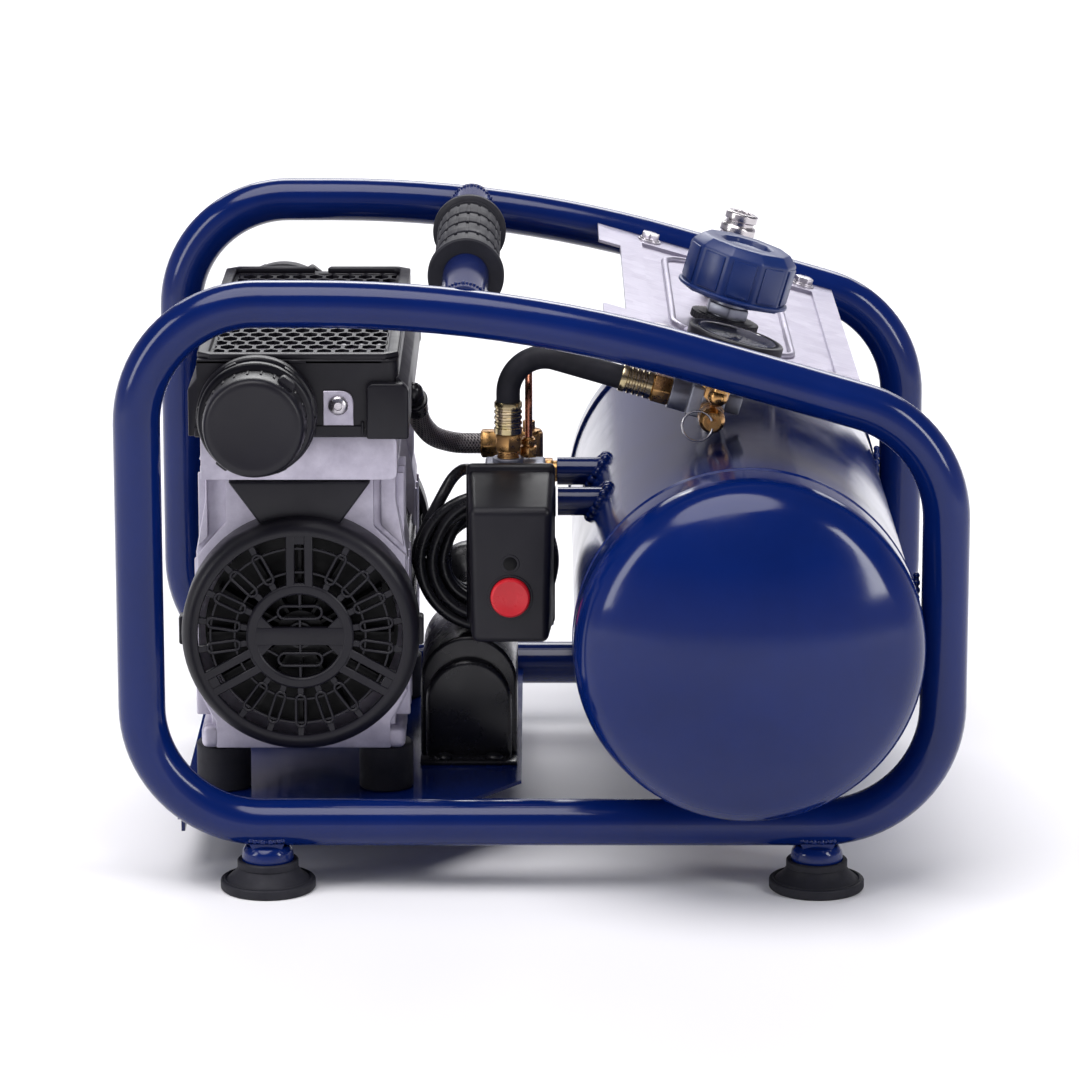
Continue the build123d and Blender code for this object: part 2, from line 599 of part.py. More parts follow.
def fan(side):
    forward = (0, -1, 0)
    wheel = rod(13, 15, (PUMP_X, -116, PUMP_Z), forward)
    wheel += rod(52, 1.6, (PUMP_X, -116, PUMP_Z), forward)
    for turn in range(0, 360, 30):
        blade = Pos(PUMP_X, -123.4, PUMP_Z) * Rot(0, -turn, 0) * Pos(30.5, 0, 0) * Box(39, 13, 1.8)
        wheel += blade
    wheel -= rod(SHAFT_R, 40, (PUMP_X, -110, PUMP_Z), forward)
    return wheel if side < 0 else mirror(wheel, about=Plane.XZ)


def piston(side):
    up = (0, 0, 1)
    at = (PUMP_X, -CYL_Y)
    part = rod(CYL_R - 0.5, 7, (*at, 196), up)
    part += block(PUMP_X - 7, PUMP_X + 7, -CYL_Y - 5, -CYL_Y + 5, PUMP_Z + 14, 198)
    part += rod(18, 12, (PUMP_X, -CYL_Y + 6, PUMP_Z), (0, -1, 0))
    part -= rod(SHAFT_R + 4.5, 14, (PUMP_X, -CYL_Y + 7, PUMP_Z), (0, -1, 0))
    return part if side < 0 else mirror(part, about=Plane.XZ)


def cylinder_head(side):
    head = block(PUMP_X - 52.5, PUMP_X + 52.5, -128, -CASE_Y1 - 2, CASE_TOP, HEAD_TOP)
    for dx in (-24, 24):
        head -= block(PUMP_X + dx - 18, PUMP_X + dx + 18, -110, -70, CASE_TOP + 6, HEAD_TOP - 5)
    head -= rod(3, 30, (PUMP_X - 24, -CYL_Y, CASE_TOP - 1), (0, 0, 1))
    return head if side < 0 else mirror(head, about=Plane.XZ)


def air_filter(side):
    forward = (0, -1, 0)
    at = lambda y: (FILTER_X, -y, FILTER_Z)
    body = rod(32, 20, at(134.8), forward) + rod(10, 6, at(128.8), forward)
    cap = taper(27.5, 26, 21, at(155), forward)
    cap = fillet(cap.edges().group_by(Axis.Y)[0], 4)
    body = fillet(body.edges().group_by(Axis.Y)[0], 3)
    pair = (body, cap)
    return pair if side < 0 else tuple(mirror(p, about=Plane.XZ) for p in pair)


def make_pump():
    sides = (-1, 1)
    write("crankcases", group(crankcase(s) for s in sides))
    write("fan_covers", group(fan_cover(s) for s in sides))
    write("fans", group(fan(s) for s in sides))
    write("pistons", group(piston(s) for s in sides))
    write("cylinder_heads", group(cylinder_head(s) for s in sides))
    liners = [pipe(CYL_R + 2, CYL_R, CASE_TOP - 181, (PUMP_X, s * CYL_Y, 181), (0, 0, 1))
              for s in sides]
    write("cylinder_liners", group(liners))
    filters = [air_filter(s) for s in sides]
    write("air_filter_bodies", group(pair[0] for pair in filters))
    write("air_filter_caps", group(pair[1] for pair in filters))

    back = (0, 1, 0)
    centre = lambda y: (PUMP_X, y, PUMP_Z)
    housing = pipe(58, 56.5, 2 * CASE_Y1, centre(-CASE_Y1), back)
    write("motor_housing", housing)
    stator = pipe(56.5, 30, 84, centre(-42), back)
    for y in (-58, 42):
        stator += pipe(48, 33, 16, centre(y), back)
    write("stator", stator)
    shaft = rod(SHAFT_R, 268, centre(-134), back) + rod(29.5, 80, centre(-40), back)
    write("rotor", shaft)
    bearings = [pipe(13, SHAFT_R + 0.05, 6, centre(y), back) for y in (-COVER_Y1, COVER_Y1 - 6)]
    write("bearings", group(bearings))

    shroud = block(PUMP_X - SHROUD_HALF_W, PUMP_X + SHROUD_HALF_W, -SHROUD_Y, SHROUD_Y, HEAD_TOP + 0.2,
                   SHROUD_TOP)
    shroud = fillet(shroud.edges().filter_by(Axis.Z), 5)
    shroud -= block(PUMP_X - SHROUD_HALF_W + 2.5, PUMP_X + SHROUD_HALF_W - 2.5, -SHROUD_Y + 2.5,
                    SHROUD_Y - 2.5, HEAD_TOP - 1, SHROUD_TOP - 3)
    for side in (-1, 1):
        shroud -= rod(10, 8, (FILTER_X, side * 128, FILTER_Z), (0, side, 0))
    write("head_shroud", shroud)

    mounts, studs = [], []
    for dx in (-MOUNT_DX, MOUNT_DX):
        for y in (-MOUNT_Y, MOUNT_Y):
            at = (PUMP_X + dx, y, PLATE_Z1)
            mounts.append(pipe(MOUNT_R, 3.2, FOOT_Z - PLATE_Z1, at, (0, 0, 1)))
            stud = rod(3, 42, (PUMP_X + dx, y, PLATE_Z0 - 6), (0, 0, 1))
            stud += hexagon(10, 5, (PUMP_X + dx, y, FOOT_Z + 6), (0, 0, 1))
            studs.append(stud + hexagon(10, 4, (PUMP_X + dx, y, PLATE_Z0 - 4), (0, 0, 1)))
    write("motor_mounts", group(mounts))
    write("mount_bolts", group(studs))


# ---------------------------------------------------------------- capacitor cover

def arch(radius, centre_z, y0, y1):
    low = block(CAP_X - radius, CAP_X + radius, y0, y1, PLATE_Z1, centre_z)
    return low + rod(radius, y1 - y0, (CAP_X, y0, centre_z), (0, 1, 0))


def make_capacitor():
    cover = arch(CAP_R, CAP_Z, CAP_Y0, CAP_Y1) + arch(24, 69, CAP_Y0 - 8, CAP_Y0)
    hollow = arch(CAP_R - 2, CAP_Z, CAP_Y0 + 2, CAP_Y1 - 2)
    hollow = hollow + arch(22, 69, CAP_Y0 - 6, CAP_Y0 + 2)
    cover -= hollow
    cover += block(CAP_X - 27, CAP_X + 27, CAP_Y0 - 20, CAP_Y0 - 7, PLATE_Z1, PLATE_Z1 + 2.5)
    write("capacitor_cover", cover)
    write("run_capacitor", rod(20, 70, (CAP_X, -26, 60), (0, 1, 0)))


# ---------------------------------------------------------------- mains lead

CORD_POINTS = [
    (-31, -38, 150), (-31, -18, 149.5), (-31, 4, 150), (-32, 17.5, 163.5), (-35, 17.5, 181.5),
    (-41, 4.2, 193), (-49, -12.7, 193), (-57, -25, 180.7), (-65, -26, 165),
]


def make_mains_lead():
    gland_at = (COIL_X, SW_BASE_Y1, 150)
    gland = hexagon(13, 4, gland_at, (0, 1, 0))
    gland += taper(5.5, 4.2, 14, (COIL_X, SW_BASE_Y1 + 4, 150), (0, 1, 0))
    write("cord_gland", gland)

    radii = corner_radii(CORD_POINTS)
    cord, length = along(CORD_POINTS, radii, CORD_R)
    print("mains lead tube", round(length, 1), [round(r, 1) for r in radii],
          "volume ratio", round(cord.volume / (pi * CORD_R ** 2 * length), 4))
    coil_at = (COIL_X, COIL_Y - COIL_HALF_T, COIL_Z)
    coil = pipe(COIL_R_OUT, COIL_R_IN, 2 * COIL_HALF_T, coil_at, (0, 1, 0))
    coil = fillet(coil.edges(), 4)
    write("cord_coil", coil)
    write("mains_cord", cord)

    back = (0, 1, 0)
    face = COIL_Y + COIL_HALF_T
    plug = taper(4.2, 7.5, 26, (PLUG_X, face, PLUG_Z), back)
    plug += rod(18, 30, (PLUG_X, face + 26, PLUG_Z), back)
    for dx in (-9.5, 9.5):
        plug += rod(2.4, 19, (PLUG_X + dx, face + 56, PLUG_Z), back)
    write("mains_plug", plug)


make_frame()
make_base()
make_tank()
make_panel()
make_regulator()
make_gauge()
make_coupler()
make_safety_valve()
make_supply_hose()
make_switch()
make_delivery()
make_pump()
make_capacitor()
make_mains_lead()
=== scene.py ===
"""Portable oil-free air compressor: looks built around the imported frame."""

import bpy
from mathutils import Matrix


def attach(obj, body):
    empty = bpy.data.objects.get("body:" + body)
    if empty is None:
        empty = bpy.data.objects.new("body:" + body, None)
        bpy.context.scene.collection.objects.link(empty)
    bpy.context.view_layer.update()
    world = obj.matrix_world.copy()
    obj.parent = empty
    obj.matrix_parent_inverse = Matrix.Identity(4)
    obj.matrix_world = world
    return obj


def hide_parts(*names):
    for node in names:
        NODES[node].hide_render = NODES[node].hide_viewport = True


bl_info = {
    "name": "Air compressor",
    "version": (1, 0, 0),
    "blender": (4, 5, 0),
    "location": "3D View > Sidebar > Compressor",
    "description": "Builds the visible pieces and finishes of a portable air compressor",
    "category": "Add Mesh",
}

from math import asin, cos, pi, radians, sin, sqrt, tan

import bmesh
import bpy
from mathutils import Matrix, Vector

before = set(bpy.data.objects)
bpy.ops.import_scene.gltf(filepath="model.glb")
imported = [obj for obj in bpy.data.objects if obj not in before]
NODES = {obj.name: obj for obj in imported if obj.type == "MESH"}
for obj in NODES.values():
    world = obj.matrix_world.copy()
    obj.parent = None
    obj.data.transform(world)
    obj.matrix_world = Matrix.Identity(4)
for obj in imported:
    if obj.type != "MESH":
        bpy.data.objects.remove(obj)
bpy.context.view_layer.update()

# Sizes here are in millimetres and are turned into metres when a piece is finished
MM = 0.001
LOOP_Y, TUBE_R = 167.0, 12.5
HANDLE_X, HANDLE_Z = -41.4, 315.0
FOOT_X = 147.0
TANK_X, TANK_Z, TANK_R = 108.2, 141.6, 91.2
PUMP_X, PUMP_Z = -130.0, 131.0
FILTER_X, FILTER_Z = -151.3, 253.0
SLOPE = radians(16.2)
REG_Y, COUPLER_Y = -59.0, 25.0
GAUGE_A, GAUGE_Y = 3.0, -122.0
MANIFOLD_Y, MANIFOLD_H = -70.0, -45.0
SWITCH_X0, SWITCH_X1, SWITCH_Y0, SWITCH_Y1 = -40.2, 5.8, -128.0, -82.0
HOSE_X = -18.6

FRONT = Matrix.Rotation(radians(90), 4, "X")      # local z towards -Y, local y up
ALONG_X = Matrix.Rotation(radians(90), 4, "Y")    # local z towards +X
ALONG_Y = Matrix.Rotation(radians(-90), 4, "X")   # local z towards +Y
PANEL = Matrix.Translation((98.5, 0, 287)) @ Matrix.Rotation(SLOPE, 4, "Y")


# ---------------------------------------------------------------- shapes

def at(*point):
    return Matrix.Translation(point)


def turned(degrees, axis="Z"):
    return Matrix.Rotation(radians(degrees), 4, axis)


def lathe(profile, steps=48, closed=True):
    """Turned shape from (radius, height) points."""
    bm = bmesh.new()
    verts = [bm.verts.new((r, 0, h)) for r, h in profile]
    pairs = list(zip(verts, verts[1:]))
    if closed and profile[0][0] > 0 and profile[-1][0] > 0:
        pairs.append((verts[-1], verts[0]))
    edges = [bm.edges.new(pair) for pair in pairs]
    bmesh.ops.spin(bm, geom=verts + edges, cent=(0, 0, 0), axis=(0, 0, 1), dvec=(0, 0, 0),
                   angle=2 * pi, steps=steps, use_merge=True, use_duplicate=False)
    return bm


def rounded(profile, radius, steps=3):
    """Rounds the corners of a lathe profile or an outline with short arcs."""
    out = []
    count = len(profile)
    for i, point in enumerate(profile):
        before, here, after = Vector(profile[i - 1]), Vector(point), Vector(profile[(i + 1) % count])
        a, b = before - here, after - here
        on_axis = here.x < 1e-6 or a.length < 1e-6 or b.length < 1e-6
        if on_axis or abs(a.normalized().cross(b.normalized())) < 0.05:
            out.append(tuple(here))
            continue
        reach = min(radius, 0.45 * a.length, 0.45 * b.length)
        start, end = here + a.normalized() * reach, here + b.normalized() * reach
        for k in range(steps + 1):
            t = k / steps
            out.append(tuple(start * (1 - t) ** 2 + here * 2 * t * (1 - t) + end * t * t))
    return out


def soften(bm, width, segments=2, angle=30):
    """Bevels every edge sharper than an angle."""
    bm.normal_update()
    edges = [e for e in bm.edges if len(e.link_faces) == 2 and e.calc_face_angle(0) > radians(angle)]
    bmesh.ops.bevel(bm, geom=edges, offset=width, offset_type="OFFSET", segments=segments,
                    profile=0.5, affect="EDGES", material=-1, clamp_overlap=True)
    return bm


def block(x0, x1, y0, y1, z0, z1, edge=0.0, segments=2):
    bm = bmesh.new()
    bmesh.ops.create_cube(bm, size=1)
    bmesh.ops.scale(bm, verts=bm.verts, vec=(x1 - x0, y1 - y0, z1 - z0))
    bmesh.ops.translate(bm, verts=bm.verts, vec=((x0 + x1) / 2, (y0 + y1) / 2, (z0 + z1) / 2))
    return soften(bm, edge, segments) if edge else bm


def prism(outline, depth, edge=0.0, segments=2, angle=30):
    """Flat outline in local x, y raised along z."""
    bm = bmesh.new()
    face = bm.faces.new([bm.verts.new((x, y, 0)) for x, y in outline])
    raised = bmesh.ops.extrude_face_region(bm, geom=[face])["geom"]
    bmesh.ops.translate(bm, verts=[g for g in raised if isinstance(g, bmesh.types.BMVert)],
                        vec=(0, 0, depth))
    bmesh.ops.recalc_face_normals(bm, faces=bm.faces)
    return soften(bm, edge, segments, angle) if edge else bm


def hexagon(flats, length, edge=0.5):
    bm = bmesh.new()
    r = flats / 2 / cos(radians(30))
    bmesh.ops.create_cone(bm, cap_ends=True, segments=6, radius1=r, radius2=r, depth=length)
    bmesh.ops.translate(bm, verts=bm.verts, vec=(0, 0, length / 2))
    return soften(bm, edge)


def rod(radius, length, edge=0.4, steps=32):
    return lathe(rounded([(0, 0), (radius, 0), (radius, length), (0, length)], edge), steps)


def pipe(outer, inner, length, edge=0.4, steps=40):
    return lathe(rounded([(inner, 0), (outer, 0), (outer, length), (inner, length)], edge), steps)


def hoop(ring_r, wire_r, steps=48, sides=10):
    turn = [2 * pi * k / sides for k in range(sides)]
    return lathe([(ring_r + wire_r * cos(t), wire_r * sin(t)) for t in turn], steps)


def stadium(length, width, steps=6):
    """Outline of a slot that runs along local x."""
    r, half = width / 2, (length - width) / 2
    right = [(half + r * sin(pi * k / steps), -r * cos(pi * k / steps)) for k in range(steps + 1)]
    left = [(-half - r * sin(pi * k / steps), r * cos(pi * k / steps)) for k in range(steps + 1)]
    return right + left


def frame_plate(outer, inner, depth, edge=0.0):
    """Plate with a hole: two outlines of as many points each, bridged and raised."""
    bm = bmesh.new()
    for outline in (outer, inner):
        verts = [bm.verts.new((x, y, 0)) for x, y in outline]
        for a, b in zip(verts, verts[1:] + verts[:1]):
            bm.edges.new((a, b))
    faces = bmesh.ops.bridge_loops(bm, edges=bm.edges[:])["faces"]
    raised = bmesh.ops.extrude_face_region(bm, geom=faces)["geom"]
    bmesh.ops.translate(bm, verts=[g for g in raised if isinstance(g, bmesh.types.BMVert)],
                        vec=(0, 0, depth))
    bmesh.ops.recalc_face_normals(bm, faces=bm.faces)
    return soften(bm, edge, 1, 50) if edge else bm


def gather(parts):
    """Joins shapes, each given alone or with the matrix that places it."""
    whole = bmesh.new()
    for part in parts:
        bm, place = part if isinstance(part, tuple) else (part, Matrix())
        bm.transform(place)
        mesh = bpy.data.meshes.new("part")
        bm.to_mesh(mesh)
        bm.free()
        whole.from_mesh(mesh)
        bpy.data.meshes.remove(mesh)
    return whole


def copied(bm, places):
    """The same shape at each of several places."""
    parts = [(bm.copy(), place) for place in places]
    bm.free()
    return gather(parts)


def both_ends(bm):
    """Adds the twin across y = 0."""
    bmesh.ops.mirror(bm, geom=bm.verts[:] + bm.edges[:] + bm.faces[:], matrix=Matrix(),
                     merge_dist=0.0001, axis="Y", mirror_u=False, mirror_v=False)
    return bm


def piece(name, parts, material, body="frame", replaces=(), smooth=35):
    """Finishes a shape as an object that rides on a body."""
    bm = gather(parts) if isinstance(parts, list) else parts
    bmesh.ops.remove_doubles(bm, verts=bm.verts, dist=0.002)
    bmesh.ops.dissolve_degenerate(bm, dist=0.0005, edges=bm.edges)
    bmesh.ops.recalc_face_normals(bm, faces=bm.faces)
    bmesh.ops.scale(bm, vec=(MM, MM, MM), verts=bm.verts)
    mesh = bpy.data.meshes.new(name)
    bm.to_mesh(mesh)
    bm.free()
    mesh.shade_smooth()
    mesh.set_sharp_from_angle(angle=radians(smooth))
    mesh.materials.append(material)
    obj = bpy.data.objects.new(name, mesh)
    bpy.context.scene.collection.objects.link(obj)
    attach(obj, body)
    if replaces:
        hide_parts(*replaces)
    return obj


def finish_nodes(material, *names):
    """Gives CAD nodes that stay in view their finish."""
    for name in names:
        mesh = NODES[name].data
        mesh.materials.clear()
        mesh.materials.append(material)


def bead(points, radius=1.7, material=None):
    """Weld bead: overlapping drops of varying size along a line of points."""
    parts = []
    for i, point in enumerate(points):
        bm = bmesh.new()
        bmesh.ops.create_icosphere(bm, subdivisions=2, radius=radius * (1.0 + 0.22 * sin(i * 2.7)))
        parts.append((bm, at(*point)))
    return gather(parts)


# ---------------------------------------------------------------- finishes

class Nodes:
    """Small helper for writing a material's nodes."""

    def __init__(self, name):
        self.material = bpy.data.materials.new(name)
        self.material.use_nodes = True
        self.tree = self.material.node_tree
        self.shader = self.tree.nodes["Principled BSDF"]
        self.coords = self.tree.nodes.new("ShaderNodeTexCoord").outputs["Object"]

    def new(self, kind, **inputs):
        node = self.tree.nodes.new(kind)
        for key, value in inputs.items():
            self.set(node.inputs[key], value)
        return node

    def set(self, socket, value):
        if isinstance(value, bpy.types.NodeSocket):
            self.tree.links.new(value, socket)
        else:
            socket.default_value = value

    def noise(self, scale, detail=3.0, rough=0.5, stretch=None):
        coords = self.coords
        if stretch:
            coords = self.new("ShaderNodeMapping", Vector=coords, Scale=stretch).outputs[0]
        return self.new("ShaderNodeTexNoise", Vector=coords, Scale=scale, Detail=detail,
                        Roughness=rough).outputs["Fac"]

    def span(self, value, low, high, start=0.3, end=0.7):
        node = self.new("ShaderNodeMapRange", Value=value)
        for key, number in (("From Min", start), ("From Max", end), ("To Min", low), ("To Max", high)):
            node.inputs[key].default_value = number
        return node.outputs["Result"]

    def mixed(self, factor, first, second):
        node = self.tree.nodes.new("ShaderNodeMix")
        node.data_type = "RGBA"
        self.set(node.inputs["Factor"], factor)
        for socket, colour in ((node.inputs[6], first), (node.inputs[7], second)):
            self.set(socket, (*colour, 1) if isinstance(colour, tuple) else colour)
        return node.outputs[2]

    def bump(self, height, strength, distance, normal=None):
        node = self.new("ShaderNodeBump", Height=height)
        node.inputs["Strength"].default_value = strength
        node.inputs["Distance"].default_value = distance
        if normal is not None:
            self.set(node.inputs["Normal"], normal)
        return node.outputs["Normal"]

    def plain(self, **values):
        for key, value in values.items():
            self.shader.inputs[key.replace("_", " ")].default_value = value


def shade(colour, share):
    return tuple(c * share for c in colour)


def varied(name, colour, second, rough, patch=30.0, grain=600.0, grain_depth=0.00005,
           grain_strength=0.3, **plain):
    """Base for most finishes: patches of a second tone, uneven gloss and a fine grain."""
    n = Nodes(name)
    patches = n.noise(patch, 4.0, 0.6)
    n.set(n.shader.inputs["Base Color"], n.mixed(n.span(patches, 0.0, 1.0), colour, second))
    n.set(n.shader.inputs["Roughness"], n.span(n.noise(patch * 2.3, 5.0, 0.65), *rough))
    n.set(n.shader.inputs["Normal"], n.bump(n.noise(grain, 2.0), grain_strength, grain_depth))
    n.plain(**plain)
    return n


FINISHES = {}


def finish(name):
    """The finish of that name, made once."""
    if name not in FINISHES:
        FINISHES[name] = MAKERS[name](name, bpy.context.scene.compressor_colours)
    return FINISHES[name]


def paint(name, colours):
    blue = tuple(colours.paint)
    n = varied(name, blue, shade(blue, 1.3), (0.09, 0.17), 14.0, 300.0, 0.00007, 0.16,
               Specular_IOR_Level=0.36)
    return n.material


def rubber(name, colours):
    tone = tuple(colours.rubber)
    return varied(name, tone, shade(tone, 1.9), (0.55, 0.78), 40.0, 900.0, 0.00006, 0.35,
                  Specular_IOR_Level=0.35).material


def plastic(name, colours):
    tone = tuple(colours.plastic)
    return varied(name, tone, shade(tone, 1.35), (0.34, 0.48), 25.0, 1500.0, 0.00005, 0.4,
                  Specular_IOR_Level=0.36).material


def satin_black(name, colours):
    return varied(name, (0.006, 0.006, 0.009), (0.011, 0.011, 0.014), (0.22, 0.34), 20.0, 700.0,
                  0.00004, 0.15).material


# Near-black finish used as painted shade: it darkens the fans behind the grilles and the screw in the switch's recess.
def painted_shade_black(name, colours):
    return varied(name, (0.0012, 0.0012, 0.0016), (0.002, 0.002, 0.0026), (0.3, 0.5), 30.0, 700.0,
                  0.00004, 0.15, Specular_IOR_Level=0.2).material


def knob_blue(name, colours):
    blue = tuple(colours.knob)
    return varied(name, blue, shade(blue, 1.25), (0.3, 0.42), 35.0, 1400.0, 0.00004, 0.3).material


def button_red(name, colours):
    red = tuple(colours.button)
    return varied(name, red, shade(red, 1.15), (0.24, 0.36), 60.0, 1500.0, 0.00003, 0.2).material


def galvanised(name, colours):
    n = Nodes(name)
    cells = n.new("ShaderNodeTexVoronoi", Vector=n.coords, Scale=95.0)
    fine = n.noise(28.0, 5.0, 0.6)
    base = n.mixed(n.span(cells.outputs["Color"], 0.0, 1.0, 0.1, 0.9), (0.37, 0.345, 0.43), (0.468, 0.445, 0.523))
    n.set(n.shader.inputs["Base Color"], n.mixed(n.span(fine, 0.0, 0.45), base, (0.42, 0.40, 0.48)))
    n.set(n.shader.inputs["Roughness"], n.span(n.noise(60.0, 6.0, 0.7, (1, 6, 1)), 0.28, 0.46))
    n.set(n.shader.inputs["Normal"], n.bump(n.noise(500.0, 2.0), 0.12, 0.00005))
    n.plain(Metallic=0.85)
    return n.material


def zinc(name, colours):
    return varied(name, (0.55, 0.52, 0.55), (0.68, 0.66, 0.68), (0.22, 0.4), 80.0, 800.0, 0.00004,
                  0.2, Metallic=1.0).material


def yellow_zinc(name, colours):
    return varied(name, (0.46, 0.38, 0.17), (0.52, 0.42, 0.30), (0.14, 0.28), 90.0, 900.0, 0.00004,
                  0.2, Metallic=1.0).material


def cast_aluminium(name, colours):
    n = Nodes(name)
    coarse = n.noise(70.0, 5.0, 0.7)
    n.set(n.shader.inputs["Base Color"], n.mixed(n.span(coarse, 0.0, 1.0), (0.50, 0.47, 0.56), (0.66, 0.63, 0.72)))
    n.set(n.shader.inputs["Roughness"], n.span(n.noise(160.0, 4.0, 0.6), 0.42, 0.62))
    pits = n.bump(n.noise(420.0, 4.0, 0.7), 0.35, 0.00018)
    n.set(n.shader.inputs["Normal"], n.bump(coarse, 0.15, 0.0004, pits))
    n.plain(Metallic=0.7)
    return n.material


def diecast(name, colours):
    return varied(name, (0.24, 0.25, 0.30), (0.34, 0.35, 0.40), (0.34, 0.5), 60.0, 520.0, 0.00012,
                  0.3, Metallic=0.8).material


def chrome(name, colours):
    return varied(name, (0.50, 0.47, 0.48), (0.62, 0.59, 0.60), (0.18, 0.32), 60.0, 900.0, 0.00002,
                  0.1, Metallic=1.0).material


def brass(name, colours):
    tone = tuple(colours.brass)
    return varied(name, tone, shade(tone, 0.72), (0.2, 0.38), 110.0, 900.0, 0.00004, 0.2,
                  Metallic=1.0).material


def copper(name, colours):
    return varied(name, (0.50, 0.20, 0.12), (0.30, 0.12, 0.08), (0.18, 0.36), 130.0, 800.0, 0.00003,
                  0.15, Metallic=1.0).material


def wire(name, colours):
    return varied(name, (0.68, 0.67, 0.68), (0.55, 0.54, 0.56), (0.15, 0.25), 200.0, 900.0, 0.00002,
                  0.1, Metallic=1.0).material


def machined(name, colours):
    n = varied(name, (0.42, 0.41, 0.42), (0.52, 0.51, 0.52), (0.24, 0.42), 90.0, 900.0, 0.00003,
               0.2, Metallic=1.0)
    return n.material


def braid(name, colours):
    """Steel braid over a dark hose: two sets of crossing strands."""
    n = Nodes(name)
    strands = []
    for lean in (42.0, -42.0):
        turned_coords = n.new("ShaderNodeMapping", Vector=n.coords, Rotation=(radians(lean), radians(lean), 0))
        wave = n.new("ShaderNodeTexWave", Vector=turned_coords.outputs[0], Scale=230.0, Distortion=0.4)
        strands.append(wave.outputs["Fac"])
    both = n.new("ShaderNodeMath")
    both.operation = "MAXIMUM"
    n.set(both.inputs[0], strands[0])
    n.set(both.inputs[1], strands[1])
    height = both.outputs[0]
    tone = n.mixed(n.span(height, 0.0, 1.0, 0.5, 0.95), (0.030, 0.027, 0.028), (0.34, 0.31, 0.31))
    n.set(n.shader.inputs["Base Color"], tone)
    n.set(n.shader.inputs["Metallic"], n.span(height, 0.3, 0.8, 0.5, 0.95))
    n.set(n.shader.inputs["Roughness"], n.span(n.noise(200.0), 0.3, 0.5))
    n.set(n.shader.inputs["Normal"], n.bump(height, 0.6, 0.0004))
    return n.material


def dial(name, colours):
    return varied(name, (0.82, 0.82, 0.80), (0.78, 0.78, 0.76), (0.4, 0.5), 60.0, 900.0, 0.00001, 0.1).material


def lens(name, colours):
    n = Nodes(name)
    n.set(n.shader.inputs["Roughness"], n.span(n.noise(60.0), 0.02, 0.06))
    n.plain(Base_Color=(1, 1, 1, 1), Transmission_Weight=1.0, IOR=1.49)
    return n.material


def tin(name, colours):
    return varied(name, (0.6, 0.6, 0.6), (0.7, 0.7, 0.7), (0.25, 0.4), 60.0, 700.0, 0.00003, 0.15,
                  Metallic=1.0).material


def lead(name, colours):
    return varied(name, (0.010, 0.010, 0.013), (0.018, 0.018, 0.022), (0.22, 0.38), 60.0, 1200.0,
                  0.00003, 0.25).material


def backdrop(name, colours):
    n = varied(name, (0.86, 0.86, 0.875), (0.88, 0.88, 0.89), (0.75, 0.85), 2.0, 300.0, 0.00001, 0.05,
               Specular_IOR_Level=0.1)
    return n.material


MAKERS = {
    "blue_paint": paint, "black_rubber": rubber, "black_plastic": plastic,
    "satin_black": satin_black, "painted_shade_black": painted_shade_black,
    "blue_plastic": knob_blue, "red_plastic": button_red, "galvanised_sheet": galvanised,
    "zinc_plate": zinc, "passivated_steel": yellow_zinc, "cast_aluminium": cast_aluminium,
    "diecast_zinc": diecast, "chrome_plate": chrome, "brass": brass, "copper": copper,
    "bright_wire": wire, "machine_steel": machined, "black_steel": satin_black,
    "braided_steel": braid, "dial_white": dial, "clear_glass": lens, "needle_black": satin_black,
    "tinned_can": tin, "red_handle": button_red, "lead_black": lead, "backdrop": backdrop,
}


# ---------------------------------------------------------------- frame, grip and feet

def build_frame(context):
    sizes = context.scene.compressor_sizes
    blue = finish("blue_paint")
    finish_nodes(blue, "front_loop", "rear_loop", "handle_tube", "panel_tabs")
    r = sizes.weld_size * 1000
    beads = []
    for side in (-1, 1):
        saddle = []
        for k in range(40):
            t = 2 * pi * k / 40
            rise = max(-TUBE_R, min(TUBE_R, TUBE_R * sin(t) - 3))
            y = side * (LOOP_Y - sqrt(max(0.0, TUBE_R ** 2 - rise ** 2)) - 0.3)
            saddle.append((HANDLE_X + (TUBE_R + 0.1) * cos(t), y, HANDLE_Z + (TUBE_R + 0.1) * sin(t)))
        beads.append(bead(saddle, r * 0.5))
        for a in (-48.5, -26.5, 45.0, 67.0):
            x = 98.5 + a * cos(SLOPE)
            run = [PANEL @ Vector((a, side * (LOOP_Y - 14.5 + k * 1.7), -2.5 - 0.1 * k)) for k in range(5)]
            beads.append(bead([tuple(p) for p in run], r * 0.8))
        # tank tacked to the right-hand uprights
        for z in (120, 163):
            x = TANK_X + sqrt(TANK_R ** 2 - (z - TANK_Z) ** 2)
            beads.append(bead([(x + 1.5, side * (LOOP_Y - 9), z - 7 + 2 * k) for k in range(8)], r))
    piece("weld_beads", beads, blue, smooth=80)


